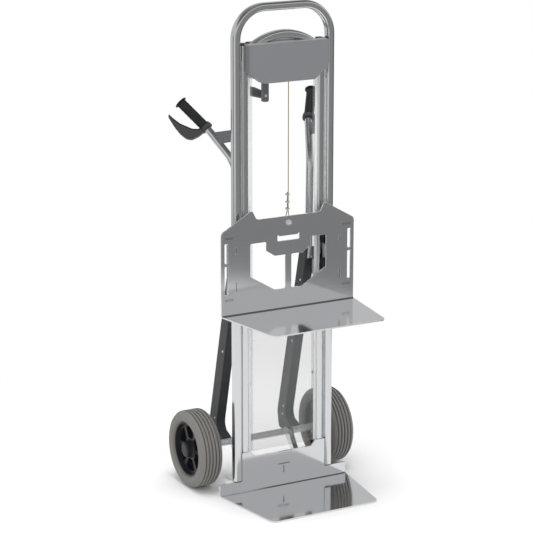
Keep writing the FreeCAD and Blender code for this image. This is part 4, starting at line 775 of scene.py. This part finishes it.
@dataclass
class Wheel:
    """A wheel: grooved tyre, rim, bearings and hub cap."""

    side: int
    name: str
    x: float = 252.75
    y: float = 154.6
    z: float = 130.0
    radius: float = 130.0
    half: float = 42.5  # half the tyre's width
    bead: float = 92.0  # the tyre's inner radius
    grooves: int = 5
    pitch: float = 12.0
    groove_depth: float = 7.0
    groove_top: float = 2.3  # half its width at the tread
    groove_foot: float = 1.7  # half its width at the foot

    @property
    def body(self) -> str:
        """CAD body of the wheel."""
        return f"wheel_{self.name}"

    def build(self) -> None:
        """Make every piece of the wheel."""
        turn = Matrix.Rotation(math.pi if self.side < 0 else 0.0, 4, "Z")
        place = Matrix.Translation((self.side * self.x, self.y, self.z)) @ turn
        self.tyre(place)
        dress(RIM, 0.8, f"rim_{self.name}")
        dress(ZINC, 0.0, f"wheel_bearings_{self.name}")
        self.cap(place)

    def tyre(self, place: Matrix) -> None:
        """The tyre with its tread grooves and a stepped side wall.

        Args:
            place: placement with X outward along the axle.
        """
        # Distance along the axle, radius and corner radius
        flank = [
            (-self.half + 11, self.bead, 0),
            (-self.half + 5, self.bead + 4, 3),
            (-self.half + 0.8, self.bead + 12, 8),
            (-self.half, self.bead + 22, 9),
            (-self.half + 3.2, self.radius - 10, 1),
            (-self.half + 4.6, self.radius - 9.6, 0.8),
            (-self.half + 5.2, self.radius - 6.6, 2.5),
            (-self.half + 12, self.radius - 1.4, 6),
        ]
        tread = []
        foot = self.radius - self.groove_depth
        for k in range(self.grooves):
            middle = self.pitch * (k - (self.grooves - 1) / 2)
            tread += [
                (middle - self.groove_top, self.radius, 0.6),
                (middle - self.groove_foot, foot, 0.8),
                (middle + self.groove_foot, foot, 0.8),
                (middle + self.groove_top, self.radius, 0.6),
            ]
        other = [(-x, r, turn) for x, r, turn in reversed(flank)]
        bm = bmesh.new()
        lathe(bm, rounded(flank + tread + other), steps=128)
        replaced = (f"tyre_{self.name}",)
        piece(f"{self.body}_tyre", bm, TYRE, self.body, replaced, place=place, angle=60.0)

    def cap(self, place: Matrix) -> None:
        """The hub cap.

        Args:
            place: placement with X outward along the axle.
        """
        # Distance along the axle, radius and corner radius
        outline = [
            (34, 21, 0), (34, 26, 0), (39.5, 25, 2), (42.5, 19, 3),
            (42.5, 0, 0), (40.5, 0, 0), (40.5, 18, 0), (38.5, 21, 0),
        ]
        bm = bmesh.new()
        lathe(bm, rounded(outline, steps=6), steps=64)
        piece(f"{self.body}_cap", bm, RIM, self.body, (f"hub_cap_{self.name}",), place=place)


@dataclass
class Handle:
    """A bent handle tube with its grip and knuckle guard.

    The grip has a frame of its own, with X along it from `start` and Y towards the guard.
    """

    side: int
    name: str
    foot: Vector = field(default_factory=lambda: Vector((132.65, 72.0, 760.0)))
    bend: Vector = field(default_factory=lambda: Vector((136.0, 70.5, 1097.0)))
    start: Vector = field(default_factory=lambda: Vector((194.5, 181.0, 1213.0)))
    axis: Vector = field(default_factory=lambda: Vector((0.448, 0.631, 0.634)).normalized())
    out: Vector = field(default_factory=lambda: Vector((0.75, 0.12, -0.65)))
    bend_radii: tuple = (120, 110)
    before_start: float = 22.0  # straight length below the grip
    into_grip: float = 107.0  # straight length inside the grip
    tube_radius: float = 12.5
    bore: float = 12.7  # of the grip and the collar
    grip_radius: float = 16.1
    ring_height: float = 0.2
    rings: int = 7
    # Along the grip: start and end of the ringed length, and the depth of its hollow
    ringed: tuple = (7.0, 108.0)
    hollow: float = 111.0
    # X, Y and corner radius of the blade's outline, the lip's run and the collar's section
    blade: tuple = (
        (-11.5, 8, 0), (-10, 36, 20), (-2, 61, 20), (13, 71.5, 20), (38, 74.5, 60),
        (71, 71, 60), (105, 63, 2), (109.5, 57.5, 2), (90, 57, 60), (61, 53, 60),
        (20, 37, 28), (5, 23, 16), (1, 8, 0),
    )
    lip: tuple = (
        (108.3, 57.4, 0), (90, 56.9, 60), (61, 52.9, 60), (20, 36.9, 28), (4.8, 22.5, 16),
        (2.2, 12, 0),
    )
    collar: tuple = ((-14, 12.7, 0), (-14, 21, 3), (0, 21, 2), (0, 12.7, 0))
    blade_half: float = 11.4
    blade_edge: float = 1.4
    lip_width: float = 25.8
    lip_thick: float = 3.6
    lip_corner: float = 1.4

    def __post_init__(self) -> None:
        """Set the guard's direction square to the grip."""
        self.out = (self.out - self.axis * self.out.dot(self.axis)).normalized()

    def build(self) -> None:
        """Make every piece of the handle."""
        x, y = self.mirror(self.axis), self.mirror(self.out)
        place = Matrix((x, y, x.cross(y))).transposed().to_4x4()
        place.translation = self.mirror(self.start)
        self.tube()
        self.grip(place)
        self.guard(place)

    def mirror(self, v: Vector) -> Vector:
        """A point or direction on this handle's side.

        Args:
            v: point or direction on the right side.

        Returns:
            The same on this side.
        """
        return Vector((self.side * v.x, v.y, v.z))

    def tube(self) -> None:
        """The bent tube from the rear leg to the grip's end."""
        corners = [
            self.foot,
            self.bend,
            self.start - self.axis * self.before_start,
            self.start + self.axis * self.into_grip,
        ]
        corners = [self.mirror(p) for p in corners]
        route = fillet(corners, [0, *self.bend_radii, 0], closed=False, steps=18)
        bm = bmesh.new()
        sweep(bm, circle_section(self.tube_radius, count=40), follow(route, X_AXIS))
        piece(f"handle_{self.name}", bm, BRIGHT, "frame", (f"handle_tube_{self.name}",))

    def grip(self, place: Matrix) -> None:
        """The moulded grip with soft finger rings and an end flange.

        Args:
            place: placement of the grip's frame.
        """
        # Distance along the grip, radius and corner radius, round the half section
        head = [(0.3, self.bore, 0), (0.3, 18.5, 0), (1.5, 19.5, 0), (4, 19.5, 0), (5.5, 17.2, 0)]
        flange = [(111.6, 15.5, 0.4), (112.2, 21.9, 0.9), (114.9, 21.9, 1.2), (114.9, 0, 0)]
        outline = rounded(head)
        count = 64
        first, last = self.ringed
        for k in range(count + 1):
            share = k / count
            swell = self.ring_height * math.cos(share * math.tau * self.rings)
            outline.append(Vector((first + share * (last - first), self.grip_radius + swell, 0)))
        outline += rounded(flange, closed=False)
        outline += rounded([(self.hollow, 0, 0), (self.hollow, self.bore, 0)])
        bm = bmesh.new()
        lathe(bm, outline, steps=56)
        replaced = (f"grip_{self.name}",)
        piece(f"hand_grip_{self.name}", bm, GRIP, "frame", replaced, place=place, angle=50.0)

    def guard(self, place: Matrix) -> None:
        """The hooked knuckle guard, a flat blade with a collar, and the soft lip on its inner edge.

        Args:
            place: placement of the grip's frame.
        """
        bm = bmesh.new()
        slab(bm, rounded(self.blade, steps=9), self.blade_half, self.blade_edge)
        collar = bmesh.new()
        lathe(collar, rounded(self.collar), steps=48)
        mesh = bpy.data.meshes.new("collar")
        collar.to_mesh(mesh)
        collar.free()
        bm.from_mesh(mesh)
        bpy.data.meshes.remove(mesh)
        replaced = (f"knuckle_guard_{self.name}",)
        piece(f"guard_{self.name}", bm, GREY, "frame", replaced, place=place, angle=50.0)
        lip = bmesh.new()
        route = rounded(self.lip, closed=False, steps=9)
        section = block_section(self.lip_width, self.lip_thick, self.lip_corner, steps=4)
        sweep(lip, section, follow(route, Z_AXIS))
        piece(f"guard_lip_{self.name}", lip, GRIP, "frame", place=place, angle=50.0)


@dataclass
class Winch:
    """Cover, housing, drum, crank and brake."""

    x: float = -22.0
    pin_z: float = 1314.0
    grip_y: float = 96.5
    # Piece, finish, rounding and the outline's distances along the pin and radii
    grip_parts: tuple = (
        (
            "crank_handle_grip", GREY, 1.2,
            ((0, 5.1), (0, 10.5), (2, 12), (40, 14.2), (77, 16), (79, 14.5), (79, 5.1)),
        ),
        ("crank_handle_ring", ZINC, 0.4, ((79.2, 5.1), (79.2, 11.5), (89, 11.5), (89, 5.1))),
        (
            "crank_handle_end", BLACK, 0.8,
            ((89.2, 5.1), (89.2, 14.5), (95, 14.5), (96, 13.5), (96, 5.1)),
        ),
    )

    def build(self) -> None:
        """Make every piece of the winch."""
        dress(COVER, 0.9, "winch_cover")
        dress(COVER, 0.6, "housing_lid")
        dress(BLACK, 0.8, "winch_housing")
        dress(ZINC, 0.2, "winch_plate", "drum_shaft", "rope_drum", "drum_gear")
        dress(ZINC, 0.2, "crank_shaft", "crank_pin")
        dress(DARK, 0.2, "ratchet_wheel", "brake_discs", "pawl")
        dress(DARK, 1.2, "crank_arm")
        dress(BRONZE, 0.2, "crank_bushes")
        self.grip()

    def grip(self) -> None:
        """The tapered crank grip, its light ring and its black end."""
        along_pin = Matrix.Rotation(math.pi / 2, 4, "Z")
        place = Matrix.Translation((self.x, self.grip_y, self.pin_z)) @ along_pin
        replaced = ("crank_grip",)
        for name, finish, round_off, outline in self.grip_parts:
            radii = [0] + [round_off] * (len(outline) - 2) + [0]
            bm = bmesh.new()
            rows = [(along, radius, turn) for (along, radius), turn in zip(outline, radii)]
            lathe(bm, rounded(rows), steps=56)
            piece(name, bm, finish, "crank_handle", replaced, place=place)
            replaced = ()


@dataclass
class Rope:
    """The laid rope: its straight run, and its end loop round the eye bolt."""

    x: float = 6.0
    y: float = -15.0
    top: float = 1416.0
    low: float = 950.8
    eye: float = 914.5  # middle of the eye bolt's ring
    eye_bottom: float = 2.1  # the loop's lowest point under it
    tail_gap: float = 3.4  # between the run and the tail
    radius: float = 1.5
    strands: int = 6
    points: int = 6  # of each strand in the section
    hollow: float = 0.16  # share of the radius between two strands
    lay: float = 20.0  # length of one full twist
    spacing: float = 1.6  # between two points of the loop
    run_parts: int = 300

    def build(self) -> None:
        """Make both pieces of the rope."""
        self.run()
        self.loop()

    def section(self) -> list[Vector]:
        """Outline of the strands.

        Returns:
            Points.
        """
        points = []
        count = self.strands * self.points
        for k in range(count):
            angle = math.tau * k / count
            lobe = abs(math.cos(self.strands * angle / 2))
            radius = self.radius * (1 - self.hollow + self.hollow * lobe)
            points.append(Vector((radius * math.cos(angle), radius * math.sin(angle), 0)))
        return points

    def laid(self, route: list[Vector], side: Vector) -> bmesh.types.BMesh:
        """A rope along a route with its strands' twist.

        Args:
            route: points 1 to 2 mm apart.
            side: starting direction of the section.

        Returns:
            The mesh.
        """
        bm = bmesh.new()
        travelled = 0.0
        turned = []
        for i, place in enumerate(follow(route, side)):
            if i:
                travelled += (route[i] - route[i - 1]).length
            turned.append(place @ Matrix.Rotation(math.tau * travelled / self.lay, 4, "Z"))
        sweep(bm, self.section(), turned)
        return bm

    def run(self) -> None:
        """The straight run, which shortens as the carriage rises."""
        count = self.run_parts
        fall = self.low - self.top
        route = [Vector((self.x, self.y, self.top + fall * k / count)) for k in range(count + 1)]
        made = piece("rope_run", self.laid(route, X_AXIS), ROPE, None, ("rope",), angle=80.0)
        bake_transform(made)

    def loop(self) -> None:
        """The end loop round the eye bolt and the tail up to the last clip."""
        tail = self.x - self.tail_gap
        # X, height above the eye's middle and bend radius
        bends = (
            (self.x, 36, 0),
            (self.x + 1.5, 12, 8),
            (self.x - 1, -self.eye_bottom, 2.6),
            (-self.x, -self.eye_bottom, 2.6),
            (-4.0, 14, 8),
            (tail, 40, 8),
            (tail, 98, 0),
        )
        corners = [(x, self.y, self.eye + up) for x, up, _ in bends]
        route = fillet(corners, [bend[2] for bend in bends], closed=False, steps=8)
        fine = [route[0]]
        for a, b in zip(route, route[1:]):
            parts = max(1, round((b - a).length / self.spacing))
            fine += [a.lerp(b, (k + 1) / parts) for k in range(parts)]
        piece("rope_loop", self.laid(fine, Y_AXIS), ROPE, "carriage", ("rope_eye",), angle=80.0)


@dataclass
class Carriage:
    """Lifting platform, cheeks, shoes and rope fittings."""

    # Middle X, width, Y of the painted shade lines' front, and low and high Z of each tab
    tabs: tuple = (
        (192.5, 4.4, -28.0, ((705.8, 736.2), (831.8, 855.2))),  # cheeks
        (219.0, 29.0, -28.85, ((679.5, 684.5), (883.5, 888.5))),  # level webs
    )

    def build(self) -> None:
        """Make every piece of the carriage."""
        dress(SHEET, 0.6, "lift_platform")
        dress(SHEET, 0.4, "carriage_cheeks", "carriage_gussets")
        dress(BLACK, 0.5, "slide_shoes")
        dress(ZINC, 0.2, "shoe_screws", "eye_bolt", "cap_nut", "rope_clips")
        slots = []
        for side, _ in SIDES:
            for x, width, front, spans in self.tabs:
                slots += [(side * x, low, high, width, front) for low, high in spans]
        # Painted shade lines in the gaps round the cheeks' and webs' tabs
        tab_gap_shade("carriage_tab_gap_shade", slots, "carriage")


@dataclass
class Studio:
    """Floor, surroundings, lamps and camera, in metres."""

    floor_radius: float = 3.8
    floor_paint: float = 0.93
    # Distances over which the paint gives way to the background's white
    paint_ends: tuple = (0.7, 1.7)
    # What mirrors see of the floor: light near the truck, dark past these distances, which
    # are taken all round and along one direction
    light_round: tuple = (2.38, 2.98)
    light_across: tuple = (1.62, 2.06)
    across: tuple = (0.958, -0.286, 0.0)
    mirrored_floor: tuple = (0.23, 0.86)
    # Degrees round the truck and grey level of the walls that mirrors see
    walls: tuple = (
        (-180, 0.4), (-152, 0.6), (-138, 0.3), (-122, 0.1), (-104, 0.12), (-82, 0.85),
        (-45, 0.6), (-5, 0.26), (42, 0.23), (58, 0.05), (82, 0.05), (112, 0.55), (150, 0.37),
        (180, 0.4),
    )
    # Sine of the height above level and grey level of the ceiling that mirrors see
    ceiling: tuple = (
        (0.0, 0.5), (0.15, 0.56), (0.38, 0.58), (0.56, 0.12), (0.9, 0.12), (1.0, 0.35),
    )
    # Sines between which the walls give way to the ceiling
    walls_end: tuple = (-0.03, 0.1)
    ambient: float = 0.76  # strength of the soft light from all round
    # Name, place, aim, side and watts
    lamps: tuple = (
        ("key", (-3.0, -3.5, 4.0), (0, 0, 0.7), 2.5, 15.0),
        ("top", (-0.3, -0.5, 4.6), (0, 0, 0.6), 2.2, 110.0),
    )
    lens: float = 143.216
    sensor: float = 36.0
    camera_place: tuple = (-3.2847, -5.8426, 2.5191)
    camera_dip: float = 0.2566  # below level, in radians
    camera_turn: float = -0.50353  # round Z, in radians

    def build(self) -> None:
        """Make the studio."""
        self.floor()
        self.surroundings()
        for lamp in self.lamps:
            self.lamp(*lamp)
        self.camera()

    def floor(self) -> None:
        """A white floor that fades into the white background for the camera."""
        bm = bmesh.new()
        bmesh.ops.create_circle(bm, cap_ends=True, segments=128, radius=self.floor_radius)
        mesh = bpy.data.meshes.new("floor")
        bm.to_mesh(mesh)
        bm.free()
        link("floor", mesh)
        made = bpy.data.materials.new("white_floor")
        tree = blank(made)
        place = add(tree, "TexCoord").outputs["Object"]
        path = add(tree, "LightPath")
        distance = add(tree, "VectorMath", {0: place}, operation="LENGTH").outputs["Value"]
        sideways = add(tree, "VectorMath", {0: place, 1: self.across}, operation="DOT_PRODUCT")
        far = remap(tree, distance, self.paint_ends, smooth=True)
        far = multiply(tree, far, path.outputs["Is Camera Ray"])
        paint = add(tree, "BsdfDiffuse", {"Color": (*[self.floor_paint] * 3, 1)}).outputs["BSDF"]
        glow = add(tree, "Emission", {"Color": WHITE, "Strength": 1.0}).outputs["Emission"]
        falling = (1.0, 0.0)
        inside = multiply(
            tree,
            remap(tree, distance, self.light_round, falling, smooth=True),
            remap(tree, sideways.outputs["Value"], self.light_across, falling, smooth=True),
        )
        level = remap(tree, inside, target=self.mirrored_floor)
        seen = add(tree, "Emission", {"Color": WHITE, "Strength": level}).outputs["Emission"]
        whole = mixed(tree, path.outputs["Is Glossy Ray"], mixed(tree, far, paint, glow), seen)
        add(tree, "OutputMaterial", {"Surface": whole})
        mesh.materials.append(made)

    def surroundings(self) -> None:
        """White to the camera, soft white light, and grey studio walls in the reflections."""
        world = bpy.data.worlds.new("studio")
        bpy.context.scene.world = world
        tree = blank(world)
        place = add(tree, "TexCoord").outputs["Generated"]
        parts = add(tree, "SeparateXYZ", {0: place}).outputs
        forward = multiply(tree, parts["Y"], -1.0)
        turn = add(tree, "Math", {0: parts["X"], 1: forward}, operation="ARCTAN2").outputs["Value"]
        stops = [((angle + 180) / 360, grey) for angle, grey in self.walls]
        walls = greys(tree, remap(tree, turn, (-math.pi, math.pi)), stops)
        ceiling = greys(tree, parts["Z"], self.ceiling)
        height = remap(tree, parts["Z"], self.walls_end, smooth=True)
        reflected = add(tree, "Mix", {0: height, 6: walls, 7: ceiling}, data_type="RGBA").outputs[2]
        path = add(tree, "LightPath").outputs
        mirrored, lit, white = (
            add(tree, "Background", {"Color": colour, "Strength": strength}).outputs["Background"]
            for colour, strength in ((reflected, 1.0), (WHITE, self.ambient), (WHITE, 1.0))
        )
        plain = mixed(tree, path["Is Diffuse Ray"], white, lit)
        add(tree, "OutputWorld", {"Surface": mixed(tree, path["Is Glossy Ray"], plain, mirrored)})

    def lamp(self, name: str, place: tuple, aim: tuple, size: float, power: float) -> None:
        """A soft square lamp that points at a spot and isn't seen in reflections.

        Args:
            name: lamp name.
            place: where it stands.
            aim: what it lights.
            size: its side.
            power: watts.
        """
        data = bpy.data.lights.new(name, "AREA")
        data.shape = "SQUARE"
        data.size = size
        data.energy = power
        lamp = link(name, data)
        lamp.location = place
        lamp.visible_glossy = False
        lamp.rotation_euler = (Vector(aim) - Vector(place)).to_track_quat("-Z", "Y").to_euler()

    def camera(self) -> None:
        """The photograph's camera, solved from the truck's edges."""
        data = bpy.data.cameras.new("camera")
        data.lens = self.lens
        data.sensor_width = self.sensor
        camera = link("camera", data)
        camera.location = self.camera_place
        camera.rotation_euler = (math.pi / 2 - self.camera_dip, 0.0, self.camera_turn)
        bpy.context.scene.camera = camera


def main() -> None:
    """Build every piece and the studio."""
    logging.basicConfig(level=logging.INFO, format="%(message)s")
    bpy.context.scene.view_settings.view_transform = "Standard"
    Frame().build()
    for side, name in SIDES:
        Wheel(side, name).build()
        Handle(side, name).build()
    for part in (Winch(), Rope(), Carriage(), Studio()):
        part.build()


if __name__ == "__main__":
    main()
